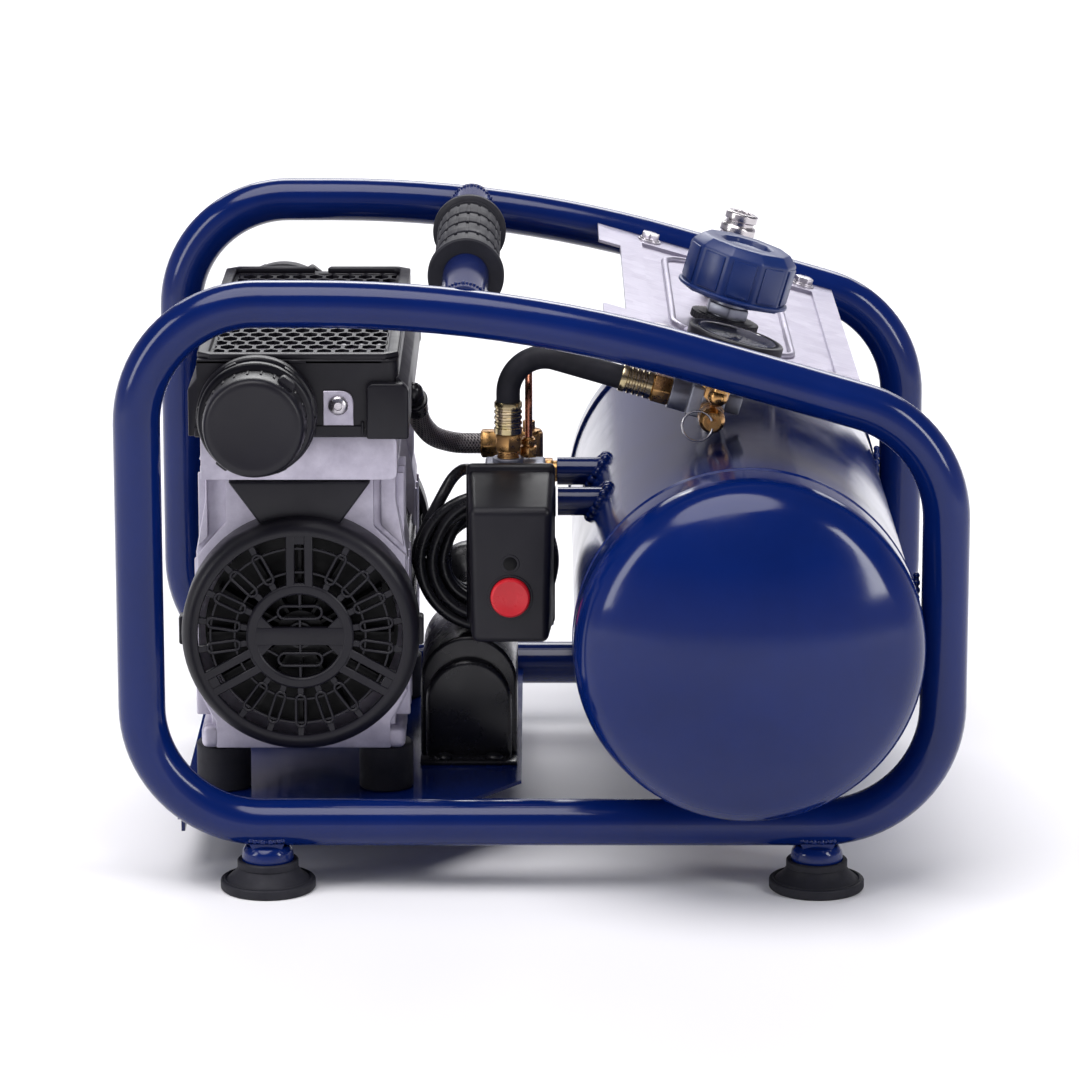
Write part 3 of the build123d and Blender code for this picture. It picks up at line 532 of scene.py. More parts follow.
def build_grip(context):
    sizes = context.scene.compressor_sizes
    rubber_black = finish("black_rubber")
    y0, y1 = -70.0, 78.0
    length = y1 - y0
    profile = [(12.6, 0), (19.8, 0), (20.8, 1.0), (20.8, 5.6), (20.0, 6.6), (18.2, 7.2), (18.0, 9.4),
               (16.0, 10.0), (16.0, length - 10.0), (18.0, length - 9.4), (18.2, length - 7.2),
               (20.0, length - 6.6), (20.8, length - 5.6), (20.8, length - 1.0), (19.8, length), (12.6, length)]
    parts = [(lathe(profile, 64), at(HANDLE_X, y0, HANDLE_Z) @ ALONG_Y)]
    around, rows = sizes.grip_teeth, 4
    pitch = (length - 22) / rows
    width = pi * 17.0 / around
    tooth = block(-width + 0.55, width - 0.55, -1.4, 0.9, 0, pitch - 6.0, 0.6, 2)
    places = []
    for row in range(rows):
        y = y0 + 11 + row * pitch
        band = [(15.6, 0), (17.3, 0), (17.7, 0.4), (17.7, pitch - 9.5), (17.3, pitch - 9.1), (15.6, pitch - 9.1)]
        parts.append((lathe(band, 64),
                      at(HANDLE_X, y + 1.5, HANDLE_Z) @ ALONG_Y))
        for k in range(around):
            places.append(at(HANDLE_X, y + 1.0, HANDLE_Z) @ ALONG_Y
                          @ turned(360.0 * (k + 0.5) / around) @ at(0, 17.0, 0))
    parts.append(copied(tooth, places))
    piece("grip_rubber", parts, rubber_black, replaces=("handle_grip",))


def build_feet(context):
    rubber_black, blue = finish("black_rubber"), finish("blue_paint")
    profile = rounded([(7, 0), (24.6, 0), (25.5, 1.0), (25.5, 4.8), (24.9, 5.5), (22.6, 5.5)], 0.4)
    profile += [(21.0, 6.4), (19.0, 8.0), (17.4, 9.8), (16.3, 11.6), (15.9, 12.2), (16.4, 12.6),
                (16.4, 15.6), (15.9, 16.2), (14.2, 16.2), (14.0, 14.6), (3.3, 14.6), (3.3, 8), (7, 8)]
    spots = [at(x, y, 0) for x in (-FOOT_X, FOOT_X) for y in (-LOOP_Y, LOOP_Y)]
    foot = gather([lathe(profile, 56), (hoop(23.2, 0.5, 56, 6), at(0, 0, 5.6))])
    piece("rubber_foot_pads", copied(foot, spots), rubber_black, replaces=("rubber_feet",))

    cup = lathe(rounded([(0, 15), (13.6, 15), (14.0, 17.5), (13.4, 21.5), (11.5, 24.2), (0, 24.6)], 0.8), 48)
    leg_outline = [(-5.5, 0), (5.5, 0), (9.5, 9.0), (-9.5, 9.0)]
    legs = []
    for side in (-1, 1):
        leg = prism(leg_outline, 2.6, 0.5)
        legs.append((leg, at(0, side * 6.5 + 1.3, 18.5) @ turned(-side * 10, "X") @ FRONT))
    welds = []
    for side in (-1, 1):
        welds.append(bead([(k * 2.1, side * 9.4, 28.2 + 0.05 * k * k) for k in range(-4, 5)], 1.5))
    bracket = gather([cup, *legs, *welds])
    piece("foot_brackets", copied(bracket, spots), blue, replaces=("foot_cups",), smooth=45)

    bolt = gather([(hexagon(10, 4, 0.5), at(0, 0, 4)), (rod(6.4, 1.0, 0.2), at(0, 0, 7.2)),
                   (rod(3, 15), at(0, 0, 8))])
    piece("foot_screws", copied(bolt, spots), finish("zinc_plate"), replaces=("foot_bolts",))


def build_base_plate(context):
    blue = finish("blue_paint")
    finish_nodes(blue, "base_plate")


# ---------------------------------------------------------------- tank

def build_tank(context):
    blue = finish("blue_paint")
    finish_nodes(blue, "tank_shell", "tank_bungs")
    rim_r, crown, knuckle, skirt, wall = 92.2, 148.0, 28.5, 22.0, 2.5
    base = -sqrt((crown - knuckle) ** 2 - (rim_r - knuckle) ** 2)
    lean = asin((rim_r - knuckle) / (crown - knuckle))
    outer = [(rim_r, -skirt), (rim_r, -skirt / 2)]
    outer += [(rim_r - knuckle + knuckle * cos(t), knuckle * sin(t)) for t in
              [(pi / 2 - lean) * k / 14 for k in range(15)]]
    outer += [(crown * sin(t), base + crown * cos(t)) for t in [lean * (1 - k / 18) for k in range(1, 19)]]
    inner = [(0, outer[-1][1] - wall), ((rim_r - wall) * 0.5, base + (crown - wall) * cos(lean * 0.5)),
             (rim_r - knuckle, base + (crown - wall) * cos(lean)), (rim_r - wall, 0), (rim_r - wall, -skirt)]
    heads = [(lathe(outer + inner, 128), at(TANK_X, side * 205.0, TANK_Z) @ (ALONG_Y if side > 0 else FRONT))
             for side in (-1, 1)]
    piece("tank_end_dishes", heads, blue, replaces=("tank_heads",), smooth=60)
    parts = []
    for side in (-1, 1):
        for y, ring_r, wire_r in ((183.2, 92.0, 1.0), (186.4, 92.35, 0.55)):
            parts.append((hoop(ring_r - 0.4, wire_r, 96, 8), at(TANK_X, side * y, TANK_Z) @ ALONG_Y))
    piece("tank_seam_rings", parts, blue, smooth=80)
    welds = []
    for y in (-69.0, 7.0):
        rise = 190.0 - TANK_Z
        ring = []
        for k in range(30):
            t = 2 * pi * k / 30
            z = rise + 8.6 * sin(t)
            ring.append((TANK_X - sqrt(TANK_R ** 2 - z * z) - 0.6, y + 8.6 * cos(t), TANK_Z + z))
        welds.append(bead(ring, 2.7))
    low = [(TANK_X + 9.8 * cos(2 * pi * k / 30), -120 + 9.8 * sin(2 * pi * k / 30),
            TANK_Z - TANK_R - 0.2 + 0.3 * (cos(4 * pi * k / 30))) for k in range(30)]
    welds.append(bead(low, 1.8))
    piece("bung_welds", welds, blue, smooth=80)

    x, y, top = TANK_X, -120.0, TANK_Z - TANK_R - 7
    cock = [(rod(4.9, 8), at(x, y, top)), (hexagon(14, 5), at(x, y, top - 5)),
            (lathe(rounded([(2.5, 0), (5.5, 0), (5.5, 9), (2.5, 9)], 0.6)), at(x, y, top - 14)),
            (lathe(rounded([(2.6, 3), (5.5, 3), (5.5, 14), (2.6, 14)], 0.6)), at(x, y + 1, top - 9.5) @ ALONG_Y)]
    piece("drain_cock", cock, finish("brass"), replaces=("drain_cock_body",))
    wing = prism([(-3, -7.5), (3, -7.5), (4, -3), (4, 3), (3, 7.5), (-3, 7.5), (-4, 3), (-4, -3)], 5.5, 1.2)
    turn = [(rod(2.5, 10), at(x, y + 6, top - 9.5) @ ALONG_Y),
            (lathe(rounded([(0, 0), (7.5, 0), (7.5, 4.5), (0, 4.5)], 0.9)), at(x, y + 15.3, top - 9.5) @ ALONG_Y),
            (wing, at(x, y + 20.5, top - 9.5) @ ALONG_Y @ turned(0))]
    piece("drain_tap", turn, finish("red_handle"), body="drain_knob", replaces=("drain_cock_knob",))


# ---------------------------------------------------------------- control panel

def build_panel(context):
    finish_nodes(finish("galvanised_sheet"), "control_panel")
    bolt = gather([rod(7, 0.9, 0.25, 40), (pipe(5.8, 3.4, 1.0, 0.2), at(0, 0, 0.8)),
                   (hexagon(10, 3.4, 0.7), at(0, 0, 1.5)), (rod(3, 12), at(0, 0, -12))])
    places = [PANEL @ at(a, y, 0) @ turned(17 * (a + y)) for a in (-37.5, 56.0) for y in (-143.0, 143.0)]
    piece("panel_screws", copied(bolt, places), finish("zinc_plate"), replaces=("panel_bolts",))
    # rounded edge of the pan pressed round the controls
    route = []
    for cx, cy, start in ((14, 94, 0), (-5, 94, 90), (-5, -84, 180), (14, -84, 270)):
        turns = [radians(start + 9 * k) for k in range(11)]
        route += [(cx + 24 * cos(t), cy + 24 * sin(t), -1.3) for t in turns]
    ribs = []
    for a, b in zip(route, route[1:] + route[:1]):
        run = Vector(b) - Vector(a)
        ribs.append((rod(2.0, run.length + 0.3, 0.0, 16), at(*a) @ run.to_track_quat("Z", "Y").to_matrix().to_4x4()))
    piece("panel_pressed_ribs", [(gather(ribs), PANEL)], finish("galvanised_sheet"), smooth=60)


def build_regulator(context):
    sizes = context.scene.compressor_sizes
    top = at(0, REG_Y, 0)
    body = [
        (lathe(rounded([(4.2, -34), (16, -34), (16, -6), (13, -4), (9, -4), (9, 14.5), (4.2, 14.5)], 0.8), 56), top),
        (hexagon(22, 6, 0.8), at(0, REG_Y, 5)),
        (block(-8, 12, MANIFOLD_Y - 12, REG_Y + 12, -50, -33, 1.5, 3)),
        (block(12, 21, MANIFOLD_Y - 5, MANIFOLD_Y + 5, -44, -34, 1.2)),
        (pipe(9, 6, 11, 0.7), at(-18, MANIFOLD_Y, MANIFOLD_H + 3) @ ALONG_X),
        (rod(8.5, 12, 0.7), at(0, REG_Y + 10, MANIFOLD_H + 5) @ ALONG_Y),
        (rod(5.2, 1.6, 0.4), at(4, MANIFOLD_Y - 12, -38.5) @ FRONT),
    ]
    piece("regulator_casting", [(gather(body), PANEL)], finish("diecast_zinc"),
          replaces=("regulator_body",))

    teeth = 44
    outline = []
    for k in range(teeth * 2):
        r = 19.0 if k % 2 else 18.1
        outline.append((r * cos(pi * k / teeth), r * sin(pi * k / teeth)))
    ring = gather([prism(outline, 3.9, 0.2, 1, 60), (pipe(15.6, 9.1, 4.4, 0.3, 48), Matrix())])
    piece("panel_ring_nut", [(ring, PANEL @ top)], finish("black_plastic"),
          replaces=("regulator_ring_nut",))

    facets = sizes.knob_facets
    corner = [(cos(2 * pi * k / facets), sin(2 * pi * k / facets)) for k in range(facets)]
    body = prism([(29.4 * x, 29.4 * y) for x, y in corner], 25.5, 0.0)
    upper = [f for f in body.faces if all(v.co.z > 20 for v in f.verts)]
    rise = bmesh.ops.extrude_face_region(body, geom=upper)["geom"]
    crown = [g for g in rise if isinstance(g, bmesh.types.BMVert)]
    bmesh.ops.translate(body, verts=crown, vec=(0, 0, 5.0))
    bmesh.ops.scale(body, verts=crown, vec=(0.83, 0.83, 1))
    bmesh.ops.delete(body, geom=[f for f in upper if f.is_valid], context="FACES_ONLY")
    caps = [f for f in body.faces if all(abs(v.co.z - 30.5) < 0.01 for v in f.verts)]
    dish = bmesh.ops.inset_region(body, faces=caps, thickness=9.5, use_even_offset=True)["faces"]
    caps = [f for f in body.faces if all(abs(v.co.z - 30.5) < 0.01 for v in f.verts) and f not in dish]
    sunk = bmesh.ops.extrude_face_region(body, geom=caps)["geom"]
    floor = [g for g in sunk if isinstance(g, bmesh.types.BMVert)]
    bmesh.ops.delete(body, geom=[f for f in caps if f.is_valid], context="FACES_ONLY")
    bmesh.ops.translate(body, verts=floor, vec=(0, 0, -2.5))
    bmesh.ops.scale(body, verts=floor, vec=(0.94, 0.94, 1))
    bmesh.ops.recalc_face_normals(body, faces=body.faces)
    soften(body, 0.9, 2, 14)
    flange = lathe(rounded([(22, 0), (30.2, 0), (30.6, 0.4), (30.6, 1.6), (29.4, 2.0), (22, 2.0)], 0.25), 80)
    pad = block(-6.5, 6.5, 27.4, 29.0, 3.0, 22.8, 0.7, 2)
    pads = copied(pad, [turned(360.0 * (k + 0.5) / facets - 90) for k in range(facets)])
    knob = [(body, at(0, 0, -1.5)), flange, (rod(4, 17, 0.3), at(0, 0, -14)), pads]
    piece("regulator_grip_knob", [(gather(knob), PANEL @ at(0, REG_Y, 17))], finish("blue_plastic"),
          body="regulator_knob", replaces=("regulator_knob",), smooth=30)


def build_gauge(context):
    black = finish("black_plastic")
    place = PANEL @ at(GAUGE_A, GAUGE_Y, 0)
    case = lathe([(0, -12.5), (22.7, -12.5), (22.7, 0.2), (25.4, 0.2), (26, 0.8), (26, 6.6), (25.4, 7.4),
                  (24.0, 7.6), (22.8, 7.3), (21.6, 6.2), (21.5, -11), (0, -11)], 72)
    parts = [case, (rod(5, 9), at(0, 0, -21.5))]
    piece("gauge_housing", [(gather(parts), place)], black, replaces=("gauge_case",))
    finish_nodes(finish("dial_white"), "gauge_dial")
    finish_nodes(finish("clear_glass"), "gauge_lens")
    finish_nodes(finish("needle_black"), "gauge_needle")
    marks = []
    for k in range(28):
        long = k % 3 == 0
        mark = block(-0.5 if long else -0.25, 0.5 if long else 0.25, 14.5 if long else 16.5, 19.5, 0, 0.12)
        marks.append((mark, place @ at(0, 0, 2.02) @ turned(135 - 10 * k)))
    piece("gauge_marks", marks, finish("needle_black"))
    feed = [(rod(4.5, 6.5), at(0, 0, -28.5)), (rod(4.5, 45), at(0, 0, -28) @ ALONG_Y),
            (hexagon(13, 8, 0.8), at(0, 8, -28) @ ALONG_Y), (hexagon(13, 7, 0.8), at(0, 38, -28) @ ALONG_Y)]
    bm = bmesh.new()
    bmesh.ops.create_icosphere(bm, subdivisions=3, radius=5.4)
    feed.append((bm, at(0, 0, -28)))
    piece("gauge_pipe_elbow", [(gather(feed), place)], finish("brass"), replaces=("gauge_elbow",))


def build_coupler(context):
    up = at(0, COUPLER_Y, 0)
    body = [
        (lathe(rounded([(5, 29), (5, 49), (7.9, 49), (9.2, 48.2), (9.2, 44.6), (8.0, 44), (8.0, 12), (7.4, 12),
                        (7.4, -46), (0, -46), (0, 29)], 0.3), 56), up),
        (hexagon(19, 9, 1.0), at(0, COUPLER_Y, 3)),
        (hexagon(19, 8, 1.0), at(0, COUPLER_Y, -14)),
        (rod(6.6, 62, 0.4), at(0, COUPLER_Y - 62, -40) @ ALONG_Y),
        (pipe(9.4, 5.2, 2.0, 0.5), at(0, COUPLER_Y, 12)),
    ]
    piece("coupler_core", [(gather(body), PANEL)], finish("chrome_plate"),
          replaces=("coupler_body",))
    count = 40
    rib = block(-0.36, 0.36, -0.3, 0.45, 2.4, 10.8, 0.15, 1)
    ribs = copied(rib, [turned(360 * k / count) @ at(0, 10.15, 0) for k in range(count)])
    sleeve = lathe(rounded([(8.06, 0), (9.7, 0), (10.3, 0.7), (10.3, 2.0), (10.1, 2.4), (10.1, 10.6), (10.3, 11.0),
                            (10.3, 13.0), (9.2, 14.6), (9.2, 16.4), (10.0, 17.2), (10.0, 20.6), (9.0, 22), (8.06, 22)],
                           0.2, 2), 64)
    piece("coupler_collar", [(gather([sleeve, ribs]), PANEL @ at(0, COUPLER_Y, 20))], finish("chrome_plate"),
          body="coupler_sleeve", replaces=("coupler_sleeve",))


def build_safety_valve(context):
    face = MANIFOLD_Y - 12
    place = PANEL @ at(5, face, -44) @ FRONT
    body = [(pipe(5, 2.6, 6, 0.4), at(0, 0, -2)), (hexagon(13, 6, 0.8), at(0, 0, 4)),
            (lathe(rounded([(2.6, 10), (7, 10), (7, 12.2), (6.5, 12.6), (6.5, 14), (7, 14.4), (7, 26.5),
                            (6.2, 28), (5.0, 30), (2.6, 30)], 0.3), 40), Matrix())]
    for k in range(4):
        body.append((block(-1.1, 1.1, 6.3, 7.15, 16.5, 24.5, 0.3, 1), turned(45 + 90 * k)))
    piece("safety_valve_case", [(gather(body), place)], finish("brass"), replaces=("safety_valve_body",))
    finish_nodes(finish("brass"), "safety_valve_stem")
    finish_nodes(finish("bright_wire"), "safety_valve_ring")


# ---------------------------------------------------------------- air lines

def crimped_ferrule():
    profile = [(6.5, 2), (3.1, 1.9), (3.1, 0), (7.0, 0), (7.6, 0.6), (7.6, 3)]
    for k in range(4):
        h = 3.6 + 3.1 * k
        profile += [(7.6, h), (7.0, h + 0.5), (7.0, h + 1.5), (7.6, h + 2.0)]
    profile += [(7.6, 17.4), (7.3, 18), (6.5, 18)]
    return lathe(profile, 48)


def build_supply_hose(context):
    finish_nodes(finish("black_rubber"), "supply_hose")
    port = PANEL @ at(-28, MANIFOLD_Y, MANIFOLD_H + 3)
    low = (crimped_ferrule(), at(HOSE_X, MANIFOLD_Y, 228))
    high = (crimped_ferrule(), port @ ALONG_X.inverted())
    piece("crimp_ferrules", [low, high], finish("passivated_steel"), replaces=("hose_ferrules",))
    end = (-22.0, 7.0, 206.0)
    nuts = [(hexagon(13.5, 9.6, 0.9), at(HOSE_X, MANIFOLD_Y, 218.8)),
            (pipe(5.6, 3, 6.4), at(HOSE_X, MANIFOLD_Y, 213)),
            (copied(hoop(5.6, 0.45, 32, 6), [at(HOSE_X, MANIFOLD_Y, 214.2 + 1.1 * k) for k in range(4)]), Matrix()),
            (hexagon(15, 10, 0.9), port @ ALONG_X), (pipe(6, 3, 8), port @ at(10, 0, 0) @ ALONG_X),
            (hexagon(15, 12, 0.9), at(*end) @ ALONG_X.inverted()), (rod(4.5, 4), at(-22.4, 7, 206) @ ALONG_X),
            (pipe(7.0, 5.6, 3, 0.3), at(-34.5, 7, 206) @ ALONG_X)]
    piece("hose_union_nuts", nuts, finish("brass"), replaces=("hose_nuts",))


def build_check_valve(context):
    x, y = -7.5, 7.0
    body = [(lathe(rounded([(0, 182), (7, 182), (7, 188), (8, 188.6), (8, 212), (6.8, 214), (3.5, 214.2),
                            (3.5, 219), (0, 219)], 0.4), 48), at(x, y, 0)),
            (hexagon(17, 8, 0.9), at(x, y, 180)), (hexagon(15, 5, 0.8), at(x, y, 208)),
            (rod(6, 15.9, 0.4), at(x, y, 190) @ ALONG_X),
            (hexagon(14, 5, 0.8), at(x + 8.5, y, 190) @ ALONG_X),
            (pipe(6, 4.6, 14.5, 0.4), at(-22, y, 206) @ ALONG_X)]
    piece("check_valve_casting", body, finish("brass"), replaces=("check_valve",))
    finish_nodes(finish("braided_steel"), "delivery_hose")
    along = Vector((-2, -16, 15)).to_track_quat("Z", "Y").to_matrix().to_4x4()
    elbow = [(lathe(rounded([(4.2, -9), (6.4, -9), (6.4, -1), (7.0, 0), (7.0, 3), (0, 3), (0, -2), (4.2, -2)], 0.5)),
              at(-70, -36, 239) @ along), (rod(5.2, 9, 0.6), at(-70, -36, 239) @ along)]
    ball = bmesh.new()
    bmesh.ops.create_icosphere(ball, subdivisions=3, radius=5.6)
    elbow += [(ball, at(-70.9, -42.6, 245.4)), (rod(5.2, 12, 0.5), at(-70.9, -42.6, 245.4) @ ALONG_X.inverted()),
              (hexagon(14, 3.4, 0.7), at(-73.0, -42.6, 245.4) @ ALONG_X.inverted())]
    piece("delivery_elbow", elbow, finish("satin_black"))
    finish_nodes(finish("copper"), "unloader_tube")
    ux, uy = -7.5, -64.0
    small = [(hexagon(9, 6, 0.6), at(ux, uy, 214)), (rod(3.2, 5, 0.3), at(ux, uy, 220)),
             (hexagon(7.5, 3, 0.4), at(ux, uy, 221.2))]
    piece("unloader_fitting", small, finish("brass"), replaces=("unloader_valve",))


# ---------------------------------------------------------------- pressure switch

def build_switch(context):
    black = finish("black_plastic")
    x0, x1, y0, y1 = SWITCH_X0, SWITCH_X1, SWITCH_Y0, SWITCH_Y1
    bm = bmesh.new()
    front = [(x0 + 2.6, y0, 125.0), (x1 - 2.6, y0, 125.0), (x1 - 0.9, y0, 198.7), (x0 + 0.9, y0, 198.7)]
    back = [(x0 - 0.4, y1, 124.4), (x1 + 0.6, y1, 124.4), (x1 + 0.6, y1, 211.5), (x0 - 0.4, y1, 211.5)]
    fv = [bm.verts.new(p) for p in front]
    bv = [bm.verts.new(p) for p in back]
    for ring in (fv, bv):
        for a, b in zip(ring, ring[1:] + ring[:1]):
            bm.edges.new((a, b))
    bmesh.ops.bridge_loops(bm, edges=bm.edges[:])
    bm.faces.new(fv)
    bm.faces.new(bv)
    bmesh.ops.recalc_face_normals(bm, faces=bm.faces)
    bm.normal_update()
    face = [f for f in bm.faces if f.normal.y < -0.9]
    soft = list({e for f in face for e in f.edges})
    soft += [e for e in bm.edges if e not in soft and abs((e.verts[0].co - e.verts[1].co).y) > 20]
    bmesh.ops.bevel(bm, geom=soft, offset=4.0, offset_type="OFFSET", segments=6, profile=0.5,
                    affect="EDGES", material=-1, clamp_overlap=True)
    # round well that the start button slides into; its floor has no hole for the button's stem
    bx, bz = -17.2, 150.7
    well_radius, well_depth = 10.75, 9.6
    bm.normal_update()
    face = max((f for f in bm.faces if f.normal.y < -0.99), key=lambda f: f.calc_area())
    outline = list(face.edges)
    bmesh.ops.delete(bm, geom=[face], context="FACES_ONLY")
    ring = bmesh.ops.create_circle(bm, cap_ends=False, segments=56, radius=well_radius,
                                   matrix=at(bx, y0, bz) @ FRONT)["verts"]
    rim = list({e for v in ring for e in v.link_edges})
    bmesh.ops.triangle_fill(bm, use_beauty=True, edges=outline + rim, normal=(0, -1, 0))
    wall = bmesh.ops.extrude_edge_only(bm, edges=rim)["geom"]
    bmesh.ops.translate(bm, verts=[g for g in wall if isinstance(g, bmesh.types.BMVert)], vec=(0, well_depth, 0))
    low = y0 + well_depth - 0.1
    bottom = [g for g in wall if isinstance(g, bmesh.types.BMEdge) and all(v.co.y > low for v in g.verts)]
    bmesh.ops.contextual_create(bm, geom=bottom)
    bmesh.ops.recalc_face_normals(bm, faces=bm.faces)
    piece("switch_housing", bm, black, replaces=("switch_cover",), smooth=40)
    trim = [(pipe(12.2, well_radius, 1.4, 0.35, 56), at(bx, y0 + 0.6, bz) @ FRONT),
            (pipe(5.0, 3.6, 1.0, 0.3, 40), at(bx, y0 + 0.6, bz + 18.4) @ FRONT),
            (block(x0 - 1.2, x1 + 1.2, y1 - 2.4, y1 + 4.0, 123.8, 214.0, 3.4, 4))]
    piece("switch_trim", trim, black)
    # The screw in the recess is painted near black as painted shade of the hole.
    dot = [(lathe([(0, 0), (3.8, 0), (3.8, 0.5), (2.6, 0.9), (0, 1.1)], 32), at(bx, y0 + 0.2, bz + 18.4) @ FRONT)]
    piece("switch_bolt_recess", dot, finish("painted_shade_black"))
    button = lathe([(0, -6), (4, -6), (10.6, -5.9), (10.7, 2.6), (10.3, 3.5), (9.4, 4.0), (8.2, 3.8), (6.0, 3.3),
                    (3.0, 3.0), (0, 2.9)], 56)
    stem = rod(4, 20, 0.3)
    piece("start_button", [(gather([button, (stem, at(0, 0, -25))]), at(bx, y0, bz) @ FRONT)],
          finish("red_plastic"), body="switch_button", replaces=("switch_button",))
    base = [block(x0 + 0.5, x1 + 0.6, y1 + 3, y1 + 10, 122, 212, 1.2),
            block(x0 + 9, x1 - 4, y1 + 4.2, -56, 165, 212.4, 1.8, 3),
            block(x0 + 5, -15, y1 + 9, -56, 131, 166, 1.4),
            (lathe(rounded([(3, 0), (8.5, 0), (8.5, 3), (3, 3)], 0.5)), at(HOSE_X, MANIFOLD_Y, 212)),
            (hexagon(16, 4, 0.8), at(x1 - 2.4, -69, 190) @ ALONG_X)]
    piece("switch_casting", base, finish("diecast_zinc"), replaces=("switch_base",))


# ---------------------------------------------------------------- pump

def build_crankcases(context):
    aluminium = finish("cast_aluminium")
    finish_nodes(aluminium, "pistons")
    half = [(51.5, 84), (51.5, 70), (57, 40), (57, -38), (50, -52), (50, -69)]
    outline = half + [(-x, z) for x, z in reversed(half)]
    case = at(PUMP_X, 0, PUMP_Z)
    parts = [(prism(outline, 46.5, 1.0, 2, 20), case @ at(0, -62, 0) @ FRONT)]
    # front plate with a pocket near its left edge and a groove near its right edge
    plate = [(-40.6, 84), (-40.6, 57), (-49.4, 47.5), (-56.4, 39), (-56.4, -37), (-49.4, -51),
             (-47.5, -54), (-47.5, -69), (47.5, -69), (47.5, -54), (49.4, -51), (56.4, -37),
             (56.4, 39), (43.5, 51), (39.3, 55), (39.3, 84)]
    parts.append((prism(plate, 4.2, 0.9, 2, 20), case @ at(0, -108, 0) @ FRONT))
    parts.append((prism([(43, 84), (43, 55.5), (55.6, 43.5), (51.2, 70), (51.2, 84)], 4.2, 0.8, 2, 20),
                  case @ at(0, -108, 0) @ FRONT))
    parts.append((prism([(-51.3, 84), (-51.3, 70), (-56, 43.5), (-50.2, 49), (-50.2, 84)], 4.2, 0.4, 1, 20),
                  case @ at(0, -108, 0) @ FRONT))
    for side in (-1, 1):
        x0, x1 = sorted((side * 45.5, side * 55.4))
        for y0, y1 in ((-112.6, -79), (-76, -62.5)):
            parts.append((block(x0, x1, y0, y1, -69, -56.5, 3.2, 4), case))
        x0, x1 = sorted((side * 50.5, side * 55.5))
        for y in (-105.5, -88, -66.5):
            parts.append((block(x0, x1, y - 1.3, y + 1.3, 38, 83.5, 0.7), case))
        x0, x1 = sorted((side * 50, side * 58.2))
        for y in (-104, -84, -66.5):
            parts.append((block(x0, x1, y - 1.5, y + 1.5, -52, 36, 1.0), case))
        x0, x1 = sorted((side * 56.6, side * 59.0))
        parts.append((block(x0, x1, -110, -64, -2.4, 2.4, 0.9), case))
    piece("crankcase_castings", both_ends(gather(parts)), aluminium, replaces=("crankcases",))

    # cylinder heads: rounded blocks with a parting line
    outline = rounded([(-52.5, 0), (52.5, 0), (52.5, 24), (-52.5, 24)], 4.5, 5)
    heads = [(prism(outline, 63.6, 0.8, 2, 30), at(PUMP_X, -64.2, 215) @ FRONT)]
    heads.append((block(-53.2, 53.2, -126.5, -66, 10.6, 12.0, 0.5, 1), at(PUMP_X, 0, 215)))
    piece("head_castings", both_ends(gather(heads)), aluminium, replaces=("cylinder_heads",))


